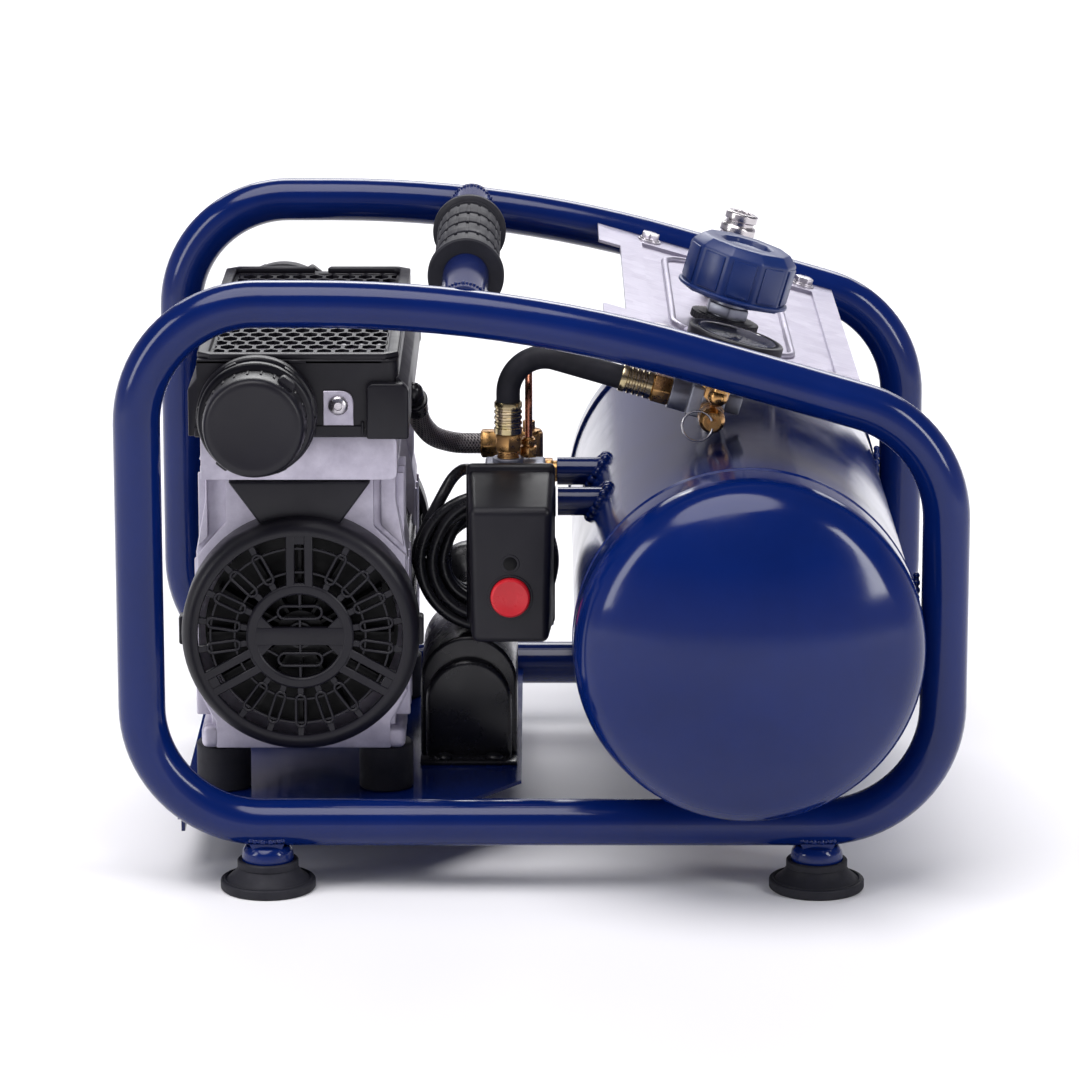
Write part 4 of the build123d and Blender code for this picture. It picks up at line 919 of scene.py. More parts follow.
def build_fan_covers(context):
    sizes = context.scene.compressor_sizes
    black = finish("black_plastic")
    rim = lathe([(61, 0), (64, 0), (64, 17.5), (63.4, 20.6), (61.6, 23.2), (58.8, 24.8), (56.6, 25), (55.4, 24.6),
                 (55, 23.8), (55, 21.8), (57.6, 21.6), (60.2, 20), (61, 17)], 96)
    parts = [rim]
    hub = rounded([(23, 20.5), (29, 20.5), (29, 24.2), (27.8, 25), (24.2, 25), (23, 24.2)], 0.4)
    parts.append((lathe(hub, 64), Matrix()))
    half = sizes.grille_wire * 500
    for ring_r in (35.2, 48.2):
        wire = [(ring_r - half, 21.0), (ring_r + half, 21.0), (ring_r + half, 23.4), (ring_r - half, 23.4)]
        parts.append((lathe(wire, 96), Matrix()))
    # three broad spokes, each with a slot
    spoke = gather([block(26.5, 57.0, 2.6, 7.2, 21.1, 24.7, 0.4, 1),
                    block(26.5, 57.0, -7.2, -2.6, 21.1, 24.7, 0.4, 1),
                    block(26.8, 29.4, -6.6, 6.6, 21.2, 24.5, 0.3, 1),
                    block(50.5, 57.4, -6.6, 6.6, 21.2, 24.3, 0.3, 1)])
    parts.append(copied(spoke, [turned(turn) for turn in (90, 209, 331)]))
    link = frame_plate(stadium(19.0, 6.6), stadium(16.2, 3.8), 3.6, 0.35)
    angles = (118, 136, 154, 171, 188, 62, 44, 26, 9, -8, 234, 252, 270, 288, 306)
    parts.append(copied(link, [turned(a) @ at(41.5, 0, 21.2) for a in angles]))
    stub = block(-2.4, 2.4, -1.7, 1.7, 0, 2.8, 0.3, 1)
    parts.append(copied(stub, [turned(a) @ at(r, 0, 21.2) for a in angles for r in (30.6, 53.0)]))
    # hub: bar across with flared ends, slots above and below
    parts.append((block(-24, 24, -4.9, 4.9, 21, 24.9, 0.7), Matrix()))
    parts.append((lathe([(0, 19.6), (6.6, 19.6), (7.2, 20.4), (7.2, 22), (0, 22)], 40), Matrix()))
    for side in (-1, 1):
        for up in (-1, 1):
            flare = [(side * x, up * y) for x, y in ((14, 4), (24, 4), (23, 13), (19.5, 9.8))]
            parts.append((prism(flare[::side * up], 3.4, 0.4), at(0, 0, 21.1)))
    for y in (-13.0, 13.0):
        parts.append((frame_plate(stadium(25, 8.2), stadium(22.4, 5.6), 3.2, 0.35), at(0, y, 21.2)))
        for side in (-1, 1):
            parts.append((block(0, 7, -0.6, 0.6, 21.2, 23.8, 0.2, 1), at(side * 12, y - (2.0 if y > 0 else -2.0), 0)
                          @ turned((-30 if y > 0 else 30) if side > 0 else (210 if y > 0 else 150))))
        for y0, y1 in ((4, 9.2), (16.8, 24)):
            low, high = sorted((y0 if y > 0 else -y0, y1 if y > 0 else -y1))
            parts.append((block(-0.7, 0.7, low, high, 21.2, 23.8, 0.2, 1), Matrix()))
    # duct up to the cylinder head, side lugs
    duct = prism([(-20.3, 58), (20.3, 58), (38.4, 83), (-38.4, 83)], 15, 1.6, 3)
    parts.append(duct)
    for side in (-1, 1):
        parts.append((block(side * 62.5 - 3.5, side * 62.5 + 3.5, -8, 8, 2, 12, 1.4), Matrix()))
    grille = gather([(gather(parts), at(PUMP_X, -112, PUMP_Z) @ FRONT)])
    piece("fan_cover_grilles", both_ends(grille), black, replaces=("fan_covers",), smooth=40)
    # The fans get the near-black finish as painted shade behind the grilles.
    finish_nodes(finish("painted_shade_black"), "fans")


def hex_mesh(x0, x1, y0, y1, long, across, bar, depth):
    """Sheet of stretched hexagonal holes, in local x, y."""
    bm = bmesh.new()
    row_pitch = across * 0.5
    col_pitch = long * 1.5
    rows = int((y1 - y0) / row_pitch) + 3
    cols = int((x1 - x0) / col_pitch) + 3
    for i in range(rows):
        for j in range(cols):
            cx = x0 - long / 2 + j * col_pitch + (0.75 * long if i % 2 else 0.0)
            cy = y0 - across / 2 + i * row_pitch
            m = at(cx, cy, 0) @ Matrix.Diagonal((long / 2, across / 2 / cos(radians(30)), 1, 1)).to_4x4()
            bmesh.ops.create_circle(bm, cap_ends=True, radius=1, segments=6, matrix=m @ turned(90))
    bmesh.ops.remove_doubles(bm, verts=bm.verts, dist=0.2)
    bmesh.ops.inset_individual(bm, faces=bm.faces[:], thickness=bar / 2, use_even_offset=True)
    holes = [f for f in bm.faces if len(f.verts) == 6]
    bmesh.ops.delete(bm, geom=holes, context="FACES_ONLY")
    for axis, place, outward in (((1, 0, 0), x0, -1), ((1, 0, 0), x1, 1), ((0, 1, 0), y0, -1), ((0, 1, 0), y1, 1)):
        bmesh.ops.bisect_plane(bm, geom=bm.verts[:] + bm.edges[:] + bm.faces[:],
                               plane_co=Vector(axis) * place, plane_no=Vector(axis) * outward,
                               clear_outer=True, clear_inner=False)
    raised = bmesh.ops.extrude_face_region(bm, geom=bm.faces[:])["geom"]
    bmesh.ops.translate(bm, verts=[g for g in raised if isinstance(g, bmesh.types.BMVert)], vec=(0, 0, -depth))
    return bm


def corners(width, depth):
    """Corners of a rectangle about the origin, from its half sizes."""
    return [(-width, -depth), (width, -depth), (width, depth), (-width, depth)]


def build_shroud(context):
    sizes = context.scene.compressor_sizes
    black = finish("black_plastic")
    w, d, z0, z1 = 53.6, 132.0, 239.4, 284.5
    parts = []
    outside = rounded(corners(w, d), 9, 5)
    inside = rounded(corners(w - 2.5, d - 2.5), 7, 5)
    walls = frame_plate(outside, inside, z1 - z0 - 4)
    parts.append((walls, at(0, 0, z0)))
    border = frame_plate(outside, rounded(corners(w - 8, d - 8), 5, 5), 2.4, 0.4)
    parts.append((border, at(0, 0, z1 - 5.4)))
    # raised lip, open at a notch in the middle of its far side
    lip = [(-3.2, d), (-w + 7, d), (-w, d - 7), (-w, -d + 7), (-w + 7, -d), (w - 7, -d), (w, -d + 7), (w, d - 7),
           (w - 7, d), (6.6, d), (5.2, d - 6), (w - 9, d - 6), (w - 6, d - 9), (w - 6, -d + 9), (w - 9, -d + 6),
           (-w + 9, -d + 6), (-w + 6, -d + 9), (-w + 6, d - 9), (-w + 9, d - 6), (-1.8, d - 6)]
    parts.append((prism(lip, 3.2, 0.9, 3, 20), at(0, 0, z1 - 3.2)))
    mesh = hex_mesh(-d + 7, d - 7, -w + 7, w - 7, sizes.mesh_cell * 1000, sizes.mesh_cell * 610, 2.0, 1.8)
    parts.append((mesh, at(0, 0, z1 - 3.0) @ turned(90)))
    parts.append((block(-4.6, 4.6, -d - 0.5, -d + 1, z1 - 5.2, z1 - 3.4, 0.3, 1), Matrix()))
    # flange along the foot of the walls, pod and rib on the ends
    flange = [(-w - 1.6, -d - 0.6), (w + 0.6, -d - 0.6), (w + 0.6, d + 0.6), (-w - 1.6, d + 0.6)]
    parts.append((frame_plate(rounded(flange, 9, 5), inside, 5.0, 0.6), at(0, 0, z0)))
    pod = prism([(36.6, 0), (59.0, 0), (59.0, 27.0), (56.2, 30.0), (39.4, 30.0), (36.6, 28.2)], 8, 1.3, 3)
    ends = [(pod, at(0, 2, 0) @ FRONT), (block(-3.0, -1.2, -2.4, 1, 2, 33, 0.6, 2), Matrix()),
            (block(7.5, 9.4, -2.0, 1, 1, 8.6, 0.4, 1), Matrix()),
            (block(33.6, 35.2, -2.0, 1, 1, 8.6, 0.4, 1), Matrix()),
            (block(8.4, 34.4, -1.0, 1, 0.6, 6.4, 0.4, 1), Matrix())]
    end = gather(ends)
    end.transform(at(0, -d, z0))
    parts.append((both_ends(end), Matrix()))
    for side in (-1, 1):
        skirt = [(side * 52, 0), (side * 58.6, 0), (side * 58.6, 25.5), (side * 53.4, 32), (side * 52, 32)][::side]
        parts.append((prism(skirt, 2 * d - 5, 1.1, 2), at(0, d - 2.5, z0) @ FRONT))
    for y in (-96, -60, 60, 96):
        parts.append((block(w - 1, w + 3.4, y - 6, y + 6, 9, 24, 1.2), at(0, 0, z0)))
        parts.append((block(w + 1.5, w + 5.0, y - 3.4, y + 3.4, 13, 19, 0.7), at(0, 0, z0)))
    whole = gather([(gather(parts), at(PUMP_X, 0, 0))])
    piece("shroud_cover", whole, black, replaces=("head_shroud",), smooth=40)

    # bare tabs that hold the shroud down, each with a domed screw
    outline = rounded([(-8, 0), (8, 0), (8, 18.6), (-8, 18.6)], 7.2, 6)
    outline = [(x, y) if y > 8 else (max(-8, min(8, x * 1.3)), min(y, 0.0) if y < 4 else y) for x, y in outline]
    tab = prism(outline, 1.8, 0.3, 1, 50)
    tabs = both_ends(gather([(tab, at(PUMP_X + 21.6, -d - 0.2, z0 + 6.8) @ FRONT)]))
    piece("shroud_tabs", tabs, finish("cast_aluminium"))
    screw = lathe([(0, 0), (5.4, 0), (5.4, 0.6), (4.9, 1.6), (3.8, 2.6), (2.2, 3.2), (2.0, 2.2), (0, 2.2)], 40)
    screws = both_ends(gather([(screw, at(PUMP_X + 21.6, -d - 2.0, z0 + 17.6) @ FRONT)]))
    piece("shroud_screws", screws, finish("zinc_plate"))


def build_air_filters(context):
    black = finish("black_plastic")
    body = [lathe([(0, -6), (9.9, -6), (10, 0), (30.8, 0), (31.6, 0.8), (32, 2), (32, 9), (31.4, 9.8), (30.2, 10.2),
                   (30.2, 13.2), (30.8, 13.8), (30.8, 17.8), (30.2, 19), (29, 19.8), (0, 20)], 88)]
    for k in range(6):
        body.append((block(-3.2, 3.2, 28.5, 31.7, 10, 14.5, 0.8), turned(25 + 60 * k)))
    cap = [lathe([(0, 0), (27.3, 0), (27.5, 0.6), (27.2, 12.5), (26.7, 17), (25.8, 19.6), (24.2, 20.7), (22.0, 21),
                  (20.6, 20.5), (0, 20.3)], 88)]
    tab = prism([(-5.4, 0), (5.4, 0), (4.0, 4.8), (-4.0, 4.8)], 7, 1.2)
    cap += [(tab, turned(-38) @ at(0, 26.2, 6)), (block(-3.6, 3.6, 25.6, 29.6, 3, 9, 0.9), turned(142))]
    for k in range(24):
        cap.append((block(-0.7, 0.7, 26.6, 27.8, 1.2, 10.5, 0.3, 1), turned(15 * k + 7)))
    place = at(FILTER_X, -134.8, FILTER_Z) @ FRONT
    piece("filter_housings", both_ends(gather([(gather(body), place)])), black,
          replaces=("air_filter_bodies",), smooth=40)
    place = at(FILTER_X, -155, FILTER_Z) @ FRONT
    piece("filter_covers", both_ends(gather([(gather(cap), place)])), black,
          replaces=("air_filter_caps",), smooth=40)


def build_motor(context):
    steel = finish("machine_steel")
    finish_nodes(steel, "rotor", "stator", "bearings", "cylinder_liners")
    finish_nodes(finish("black_steel"), "motor_housing")
    ribs = copied(block(-0.8, 0.8, 57.4, 59.6, -58, 58, 0.4, 1),
                  [at(PUMP_X, 0, PUMP_Z) @ ALONG_Y @ turned(7.5 * k) for k in range(48)])
    piece("motor_cooling_ribs", ribs, finish("black_steel"))
    spots = [at(PUMP_X + dx, y, 36) for dx in (-44.5, 44.5) for y in (-95.0, 95.0)]
    mount = lathe([(3.3, 0), (13.8, 0), (14.8, 0.9), (14.8, 24.6), (13.9, 25.6), (12.6, 26), (3.3, 26)], 56)
    piece("rubber_bushes", copied(mount, spots), finish("black_rubber"), replaces=("motor_mounts",))
    stud = gather([(rod(3, 42, 0.4), at(0, 0, -8)), (hexagon(10, 5, 0.7), at(0, 0, 32)),
                   (rod(6.6, 1.2, 0.3), at(0, 0, 30.8)), (hexagon(10, 4, 0.6), at(0, 0, -6))])
    piece("mount_studs", copied(stud, spots), finish("zinc_plate"), replaces=("mount_bolts",))


def build_capacitor_cover(context):
    black = finish("satin_black")

    def arch(radius, centre, base):
        turn = [pi * k / 20 for k in range(21)]
        return [(radius, base), *((radius * cos(t), centre + radius * sin(t)) for t in turn), (-radius, base)]

    main = prism(arch(27, 78, 36), 92, 2.2, 4, 40)
    bulge = prism(arch(24, 69, 36), 9.5, 2.6, 4, 40)
    low = block(-27, 27, 42.5, 56, 36, 38.5, 0.8)
    low.transform(Matrix.Diagonal((1, -1, 1, 1)))
    parts = [(main, at(-41, 56, 0) @ FRONT), (bulge, at(-41, -34.5, 0) @ FRONT), (low, at(-41, 0, 0))]
    parts.append((lathe(rounded([(0, 0), (5.2, 0), (5.2, 1.4), (3.6, 2.4), (0, 2.4)], 0.4), 32), at(-55, -49, 38.3)))
    parts.append((lathe(rounded([(0, 0), (5.2, 0), (5.2, 1.4), (3.6, 2.4), (0, 2.4)], 0.4), 32), at(-27, -49, 38.3)))
    piece("capacitor_box", parts, black, replaces=("capacitor_cover",), smooth=40)
    finish_nodes(finish("tinned_can"), "run_capacitor")


# ---------------------------------------------------------------- mains lead

LEAD_ROUTE = [(-0.031, -0.038, 0.150), (-0.031, -0.018, 0.1495), (-0.031, 0.004, 0.150), (-0.032, 0.0175, 0.1635),
              (-0.035, 0.0175, 0.1815), (-0.041, 0.0042, 0.193), (-0.049, -0.0127, 0.193), (-0.057, -0.025, 0.1807),
              (-0.065, -0.026, 0.165)]


def build_mains_lead(context):
    black = finish("lead_black")
    cx, cy, cz = -0.031, -0.026, 0.1468
    gap = 0.0066
    turns = [(0.0376, 0.0), (0.0376, -gap), (0.031, -gap), (0.031, 0.0), (0.0376, gap), (0.031, gap),
             (0.0246, 0.0), (0.0246, gap)]
    points = list(LEAD_ROUTE)
    per_turn, start = 16, 152.0
    count = len(turns) * per_turn + 1
    for k in range(1, count):
        where = k / per_turn
        index = min(int(where), len(turns) - 1)
        r, y = turns[index]
        step = where - index
        if step > 0.8 and index + 1 < len(turns):
            share = (step - 0.8) / 0.2
            r += (turns[index + 1][0] - r) * share
            y += (turns[index + 1][1] - y) * share
        r += 0.0003 * sin(k * 0.9) + (0.0022 if k == 1 else 0.0)
        y += 0.0003 * sin(k * 0.63 + 1)
        angle = radians(start + 360 * where)
        points.append((cx + r * cos(angle), cy + y, cz + r * sin(angle)))
    points += [(-0.0545, -0.0165, 0.1365), (-0.0475, -0.0125, 0.1275), (-0.0410, -0.0050, 0.1250),
               (-0.0410, 0.0060, 0.1250)]
    curve = bpy.data.curves.new("mains_lead", "CURVE")
    curve.dimensions = "3D"
    spline = curve.splines.new("NURBS")
    spline.points.add(len(points) - 1)
    for slot_point, point in zip(spline.points, points):
        slot_point.co = (*point, 1)
    spline.order_u = 3
    spline.use_endpoint_u = True
    curve.resolution_u = 6
    curve.bevel_depth = context.scene.compressor_sizes.lead_diameter / 2
    curve.bevel_resolution = 5
    curve.use_fill_caps = True
    curve.materials.append(black)
    flex = bpy.data.objects.new("mains_lead", curve)
    context.scene.collection.objects.link(flex)
    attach(flex, "frame")
    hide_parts("mains_cord", "cord_coil")

    relief = [(3.4, 0), (4.1, 0), (4.4, 1.0)]
    for k in range(4):
        h = 2.2 + 3.6 * k
        out = 0.42 * k
        relief += [(4.4 + out, h), (3.9 + out, h + 0.4), (3.9 + out, h + 1.4), (4.5 + out, h + 1.8)]
    relief += [(7.4, 18), (9.5, 20), (13.8, 22.5), (17.0, 25), (18, 28), (18, 35.6),
               (17.4, 37.4), (16.2, 38.6), (0, 38.6), (0, 6), (3.4, 6)]
    plug = [(lathe(relief, 56), at(-41, 1.4, 125) @ ALONG_Y)]
    for k in range(10):
        plug.append((block(-1.0, 1.0, 17.2, 18.3, 28.5, 35.5, 0.4, 1),
                     at(-41, 1.4, 125) @ ALONG_Y @ turned(-28 + 6.2 * k)))
    plug_body = piece("plug_body", plug, black, replaces=("mains_plug",))
    pins = [(lathe(rounded([(0, 0), (2.4, 0), (2.4, 19), (0, 19)], 0.9), 24), at(-41 + dx, 39.6, 125) @ ALONG_Y)
            for dx in (-9.5, 9.5)]
    plug_pins = piece("plug_pins", pins, finish("zinc_plate"))
    tie = frame_plate(rounded([(-11.6, -11.6), (11.6, -11.6), (11.6, 11.6), (-11.6, 11.6)], 7, 6),
                      rounded([(-10.6, -10.6), (10.6, -10.6), (10.6, 10.6), (-10.6, 10.6)], 6, 6), 3.0, 0.3)
    angle = 40.0
    r = 31.0
    place = (at(cx * 1000 + r * cos(radians(angle)), cy * 1000, cz * 1000 + r * sin(radians(angle)))
             @ turned(-angle, "Y") @ at(0, 0, -1.5))
    tie_band = piece("lead_tie", [(tie, place)], black)
    gland = [(hexagon(13, 4.4, 0.6), at(-31, -56, 150) @ ALONG_Y),
             (lathe([(3.4, 0), (5.6, 0), (5.6, 3), (5.2, 3.6), (5.4, 4.4), (5.4, 6.6),
                     (4.9, 7.2), (5.1, 8), (5.1, 10.2), (4.6, 10.8), (4.8, 11.6),
                     (4.8, 13.8), (4.4, 14.4), (4.4, 15.6), (3.4, 15.8)], 40),
              at(-31, -52, 150) @ ALONG_Y)]
    piece("lead_strain_relief", gland, finish("black_plastic"), replaces=("cord_gland",))


# ---------------------------------------------------------------- stage

def lamp(name, place, aim, size, power, colour=(1, 1, 1)):
    data = bpy.data.lights.new(name, "AREA")
    data.shape = "RECTANGLE"
    data.size, data.size_y = size
    data.energy = power
    data.color = colour
    obj = bpy.data.objects.new(name, data)
    obj.location = place
    obj.rotation_euler = (Vector(aim) - Vector(place)).to_track_quat("-Z", "Y").to_euler()
    bpy.context.scene.collection.objects.link(obj)


def build_stage(context):
    sizes = context.scene.compressor_sizes
    bm = bmesh.new()
    bmesh.ops.create_grid(bm, x_segments=1, y_segments=1, size=sizes.floor_size / 2)
    mesh = bpy.data.meshes.new("floor")
    bm.to_mesh(mesh)
    bm.free()
    mesh.materials.append(finish("backdrop"))
    floor = bpy.data.objects.new("floor", mesh)
    context.scene.collection.objects.link(floor)

    world = bpy.data.worlds.new("studio")
    context.scene.world = world
    world.use_nodes = True
    tree = world.node_tree
    back = tree.nodes["Background"]
    back.inputs["Strength"].default_value = sizes.room_light
    direction = tree.nodes.new("ShaderNodeTexCoord")
    split = tree.nodes.new("ShaderNodeSeparateXYZ")
    ramp = tree.nodes.new("ShaderNodeMapRange")
    mix = tree.nodes.new("ShaderNodeMix")
    mix.data_type = "RGBA"
    mix.inputs[6].default_value = (0.60, 0.58, 0.66, 1)
    mix.inputs[7].default_value = (0.10, 0.10, 0.13, 1)
    tree.links.new(direction.outputs["Generated"], split.inputs[0])
    tree.links.new(split.outputs["Z"], ramp.inputs["Value"])
    ramp.inputs["From Min"].default_value = 0.0
    ramp.inputs["From Max"].default_value = 0.45
    tree.links.new(ramp.outputs["Result"], mix.inputs["Factor"])
    tree.links.new(mix.outputs[2], back.inputs["Color"])

    sun = bpy.data.lights.new("overhead", "SUN")
    sun.energy = sizes.key_light
    sun.angle = radians(48)
    sun.color = (1.0, 0.98, 1.0)
    sky = bpy.data.objects.new("overhead", sun)
    sky.rotation_euler = (radians(14), radians(-10), 0)
    context.scene.collection.objects.link(sky)
    lamp("left_box", (-2.4, -1.3, 1.3), (-0.05, 0, 0.18), (0.7, 1.8), 26)
    lamp("right_box", (2.3, -1.5, 1.5), (0.05, 0, 0.18), (0.5, 1.8), 30)
    lamp("back_box", (0.2, 2.6, 2.2), (0, 0, 0.15), (2.4, 0.9), 40)
    lamp("far_box", (0, 6.4, 3.2), (0, 5.0, 0), (7.0, 3.0), 150)

    data = bpy.data.cameras.new("camera")
    data.lens = 162.9
    data.sensor_width = 36.0
    data.clip_end = 50.0
    camera = bpy.data.objects.new("camera", data)
    camera.location = (-0.00125, -2.6751, 0.7876)
    camera.rotation_euler = (radians(76.63), 0, 0)
    context.scene.collection.objects.link(camera)
    context.scene.camera = camera
    context.scene.view_settings.view_transform = "Standard"


# ---------------------------------------------------------------- add-on

class CompressorSizes(bpy.types.PropertyGroup):
    """Sizes a user may change before building."""
    weld_size: bpy.props.FloatProperty(
        name="Weld bead", description="Radius of the drops in a weld bead", default=0.0019,
        min=0.0005, max=0.004, unit="LENGTH", subtype="DISTANCE")
    grip_teeth: bpy.props.IntProperty(
        name="Grip teeth", description="Raised teeth round the grip in each row", default=18, min=8, max=40)
    knob_facets: bpy.props.IntProperty(
        name="Knob facets", description="Flats round the regulator knob", default=10, min=6, max=20)
    mesh_cell: bpy.props.FloatProperty(
        name="Mesh cell", description="Length of a hole in the shroud's top mesh", default=0.0156,
        min=0.005, max=0.03, unit="LENGTH", subtype="DISTANCE")
    grille_wire: bpy.props.FloatProperty(
        name="Grille wire", description="Width of the thin rings in the fan grilles", default=0.001,
        min=0.0005, max=0.003, unit="LENGTH", subtype="DISTANCE")
    lead_diameter: bpy.props.FloatProperty(
        name="Lead diameter", description="Outside diameter of the mains lead", default=0.0065,
        min=0.004, max=0.012, unit="LENGTH", subtype="DISTANCE")
    floor_size: bpy.props.FloatProperty(
        name="Floor", description="Side of the square floor", default=80.0, unit="LENGTH", subtype="DISTANCE")
    room_light: bpy.props.FloatProperty(
        name="Room light", description="Strength of the light from all round", default=0.9, min=0, max=5)
    key_light: bpy.props.FloatProperty(
        name="Overhead light", description="Strength of the broad light overhead", default=2.5, min=0, max=10)


class CompressorColours(bpy.types.PropertyGroup):
    """Colours a user may change before building."""
    paint: bpy.props.FloatVectorProperty(
        name="Paint", description="Frame and tank paint", default=(0.0012, 0.010, 0.085), subtype="COLOR", size=3)
    knob: bpy.props.FloatVectorProperty(
        name="Knob", description="Regulator knob plastic", default=(0.0022, 0.017, 0.105), subtype="COLOR", size=3)
    button: bpy.props.FloatVectorProperty(
        name="Button", description="Start button plastic", default=(0.60, 0.010, 0.020), subtype="COLOR", size=3)
    plastic: bpy.props.FloatVectorProperty(
        name="Plastic", description="Moulded covers", default=(0.0062, 0.0056, 0.0092), subtype="COLOR", size=3)
    rubber: bpy.props.FloatVectorProperty(
        name="Rubber", description="Grip, feet and hose", default=(0.008, 0.008, 0.012), subtype="COLOR", size=3)
    brass: bpy.props.FloatVectorProperty(
        name="Brass", description="Fittings", default=(0.60, 0.34, 0.13), subtype="COLOR", size=3)


class BuildStage(bpy.types.Operator):
    """Floor, light and camera"""
    bl_idname = "compressor.stage"
    bl_label = "Stage"
    bl_options = {"REGISTER", "UNDO"}

    def execute(self, context):
        build_stage(context)
        return {"FINISHED"}


class BuildMainsLead(bpy.types.Operator):
    """Coiled mains lead with its plug and strain relief"""
    bl_idname = "compressor.mains_lead"
    bl_label = "Mains lead"
    bl_options = {"REGISTER", "UNDO"}

    def execute(self, context):
        build_mains_lead(context)
        return {"FINISHED"}


class BuildFrame(bpy.types.Operator):
    """Painted tubes and their weld beads"""
    bl_idname = "compressor.frame"
    bl_label = "Frame"
    bl_options = {"REGISTER", "UNDO"}

    def execute(self, context):
        build_frame(context)
        return {"FINISHED"}


class BuildGrip(bpy.types.Operator):
    """Ribbed rubber sleeve on the handle"""
    bl_idname = "compressor.grip"
    bl_label = "Grip"
    bl_options = {"REGISTER", "UNDO"}

    def execute(self, context):
        build_grip(context)
        return {"FINISHED"}


class BuildFeet(bpy.types.Operator):
    """Rubber feet, their brackets and screws"""
    bl_idname = "compressor.feet"
    bl_label = "Feet"
    bl_options = {"REGISTER", "UNDO"}

    def execute(self, context):
        build_feet(context)
        return {"FINISHED"}


class BuildBasePlate(bpy.types.Operator):
    """Folded plate under the pump"""
    bl_idname = "compressor.base_plate"
    bl_label = "Base plate"
    bl_options = {"REGISTER", "UNDO"}

    def execute(self, context):
        build_base_plate(context)
        return {"FINISHED"}


class BuildTank(bpy.types.Operator):
    """Air tank, its welds and drain cock"""
    bl_idname = "compressor.tank"
    bl_label = "Tank"
    bl_options = {"REGISTER", "UNDO"}

    def execute(self, context):
        build_tank(context)
        return {"FINISHED"}


class BuildPanel(bpy.types.Operator):
    """Galvanised control panel and its screws"""
    bl_idname = "compressor.panel"
    bl_label = "Panel"
    bl_options = {"REGISTER", "UNDO"}

    def execute(self, context):
        build_panel(context)
        return {"FINISHED"}


class BuildRegulator(bpy.types.Operator):
    """Regulator casting, ring nut and knob"""
    bl_idname = "compressor.regulator"
    bl_label = "Regulator"
    bl_options = {"REGISTER", "UNDO"}

    def execute(self, context):
        build_regulator(context)
        return {"FINISHED"}


class BuildGauge(bpy.types.Operator):
    """Pressure gauge and its brass pipe"""
    bl_idname = "compressor.gauge"
    bl_label = "Gauge"
    bl_options = {"REGISTER", "UNDO"}

    def execute(self, context):
        build_gauge(context)
        return {"FINISHED"}


class BuildCoupler(bpy.types.Operator):
    """Quick coupler and its collar"""
    bl_idname = "compressor.coupler"
    bl_label = "Coupler"
    bl_options = {"REGISTER", "UNDO"}

    def execute(self, context):
        build_coupler(context)
        return {"FINISHED"}


class BuildSafetyValve(bpy.types.Operator):
    """Brass safety valve with its pull ring"""
    bl_idname = "compressor.safety_valve"
    bl_label = "Safety valve"
    bl_options = {"REGISTER", "UNDO"}

    def execute(self, context):
        build_safety_valve(context)
        return {"FINISHED"}


class BuildSupplyHose(bpy.types.Operator):
    """Hose from the switch to the regulator"""
    bl_idname = "compressor.supply_hose"
    bl_label = "Supply hose"
    bl_options = {"REGISTER", "UNDO"}

    def execute(self, context):
        build_supply_hose(context)
        return {"FINISHED"}


class BuildCheckValve(bpy.types.Operator):
    """Check valve, delivery hose and unloader tube"""
    bl_idname = "compressor.check_valve"
    bl_label = "Check valve"
    bl_options = {"REGISTER", "UNDO"}

    def execute(self, context):
        build_check_valve(context)
        return {"FINISHED"}


class BuildSwitch(bpy.types.Operator):
    """Pressure switch with its start button"""
    bl_idname = "compressor.switch"
    bl_label = "Switch"
    bl_options = {"REGISTER", "UNDO"}

    def execute(self, context):
        build_switch(context)
        return {"FINISHED"}


class BuildCrankcases(bpy.types.Operator):
    """Cast crankcases and cylinder heads"""
    bl_idname = "compressor.crankcases"
    bl_label = "Crankcases"
    bl_options = {"REGISTER", "UNDO"}

    def execute(self, context):
        build_crankcases(context)
        return {"FINISHED"}


class BuildFanCovers(bpy.types.Operator):
    """Slotted covers over the two fans"""
    bl_idname = "compressor.fan_covers"
    bl_label = "Fan covers"
    bl_options = {"REGISTER", "UNDO"}

    def execute(self, context):
        build_fan_covers(context)
        return {"FINISHED"}


class BuildShroud(bpy.types.Operator):
    """Cover with a mesh top over the cylinder heads"""
    bl_idname = "compressor.shroud"
    bl_label = "Shroud"
    bl_options = {"REGISTER", "UNDO"}

    def execute(self, context):
        build_shroud(context)
        return {"FINISHED"}


class BuildAirFilters(bpy.types.Operator):
    """Round intake filters"""
    bl_idname = "compressor.air_filters"
    bl_label = "Air filters"
    bl_options = {"REGISTER", "UNDO"}

    def execute(self, context):
        build_air_filters(context)
        return {"FINISHED"}


class BuildMotor(bpy.types.Operator):
    """Motor housing and its rubber bushes"""
    bl_idname = "compressor.motor"
    bl_label = "Motor"
    bl_options = {"REGISTER", "UNDO"}

    def execute(self, context):
        build_motor(context)
        return {"FINISHED"}


class BuildCapacitorCover(bpy.types.Operator):
    """Arched cover beside the pump"""
    bl_idname = "compressor.capacitor_cover"
    bl_label = "Capacitor cover"
    bl_options = {"REGISTER", "UNDO"}

    def execute(self, context):
        build_capacitor_cover(context)
        return {"FINISHED"}


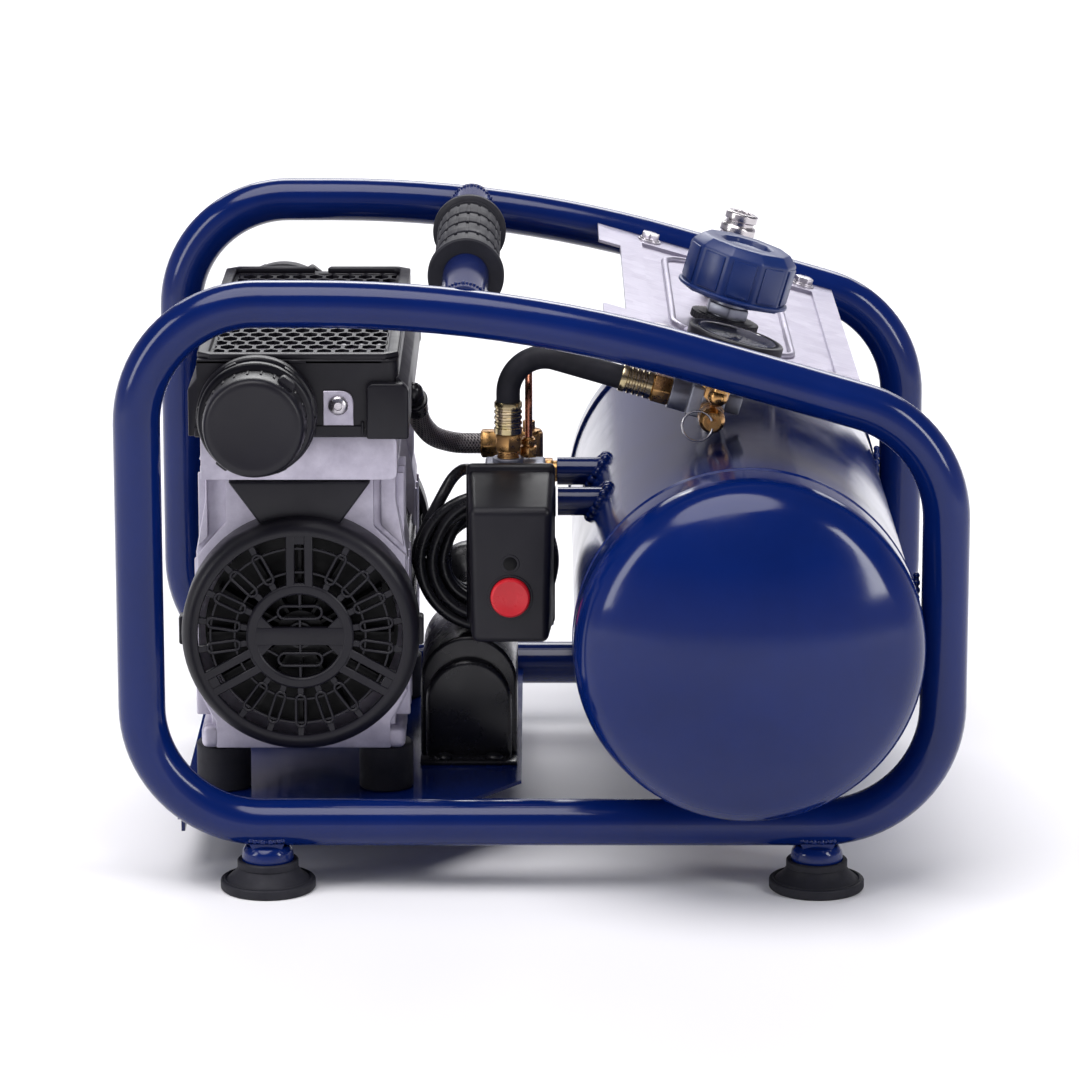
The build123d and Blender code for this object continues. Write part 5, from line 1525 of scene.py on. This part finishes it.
OPERATORS = (
    BuildStage, BuildMainsLead, BuildFrame, BuildGrip, BuildFeet, BuildBasePlate, BuildTank,
    BuildPanel, BuildRegulator, BuildGauge, BuildCoupler, BuildSafetyValve, BuildSupplyHose,
    BuildCheckValve, BuildSwitch, BuildCrankcases, BuildFanCovers, BuildShroud, BuildAirFilters,
    BuildMotor, BuildCapacitorCover,
)


class CompressorPanel(bpy.types.Panel):
    """Lists the steps that build the compressor"""
    bl_idname = "VIEW3D_PT_compressor"
    bl_label = "Air compressor"
    bl_space_type = "VIEW_3D"
    bl_region_type = "UI"
    bl_category = "Compressor"

    def draw(self, context):
        layout = self.layout
        for settings in (context.scene.compressor_sizes, context.scene.compressor_colours):
            box = layout.box()
            for key in settings.__annotations__:
                box.prop(settings, key)
        for operator in OPERATORS:
            layout.operator(operator.bl_idname)


CLASSES = (CompressorSizes, CompressorColours, *OPERATORS, CompressorPanel)


def register():
    for cls in CLASSES:
        bpy.utils.register_class(cls)
    bpy.types.Scene.compressor_sizes = bpy.props.PointerProperty(type=CompressorSizes)
    bpy.types.Scene.compressor_colours = bpy.props.PointerProperty(type=CompressorColours)


def unregister():
    del bpy.types.Scene.compressor_colours
    del bpy.types.Scene.compressor_sizes
    for cls in reversed(CLASSES):
        bpy.utils.unregister_class(cls)


def main():
    register()
    bpy.ops.compressor.stage()
    bpy.ops.compressor.mains_lead()
    bpy.ops.compressor.frame()
    bpy.ops.compressor.grip()
    bpy.ops.compressor.feet()
    bpy.ops.compressor.base_plate()
    bpy.ops.compressor.tank()
    bpy.ops.compressor.panel()
    bpy.ops.compressor.regulator()
    bpy.ops.compressor.gauge()
    bpy.ops.compressor.coupler()
    bpy.ops.compressor.safety_valve()
    bpy.ops.compressor.supply_hose()
    bpy.ops.compressor.check_valve()
    bpy.ops.compressor.switch()
    bpy.ops.compressor.crankcases()
    bpy.ops.compressor.fan_covers()
    bpy.ops.compressor.shroud()
    bpy.ops.compressor.air_filters()
    bpy.ops.compressor.motor()
    bpy.ops.compressor.capacitor_cover()
    bpy.context.view_layer.update()


if __name__ == "__main__":
    main()
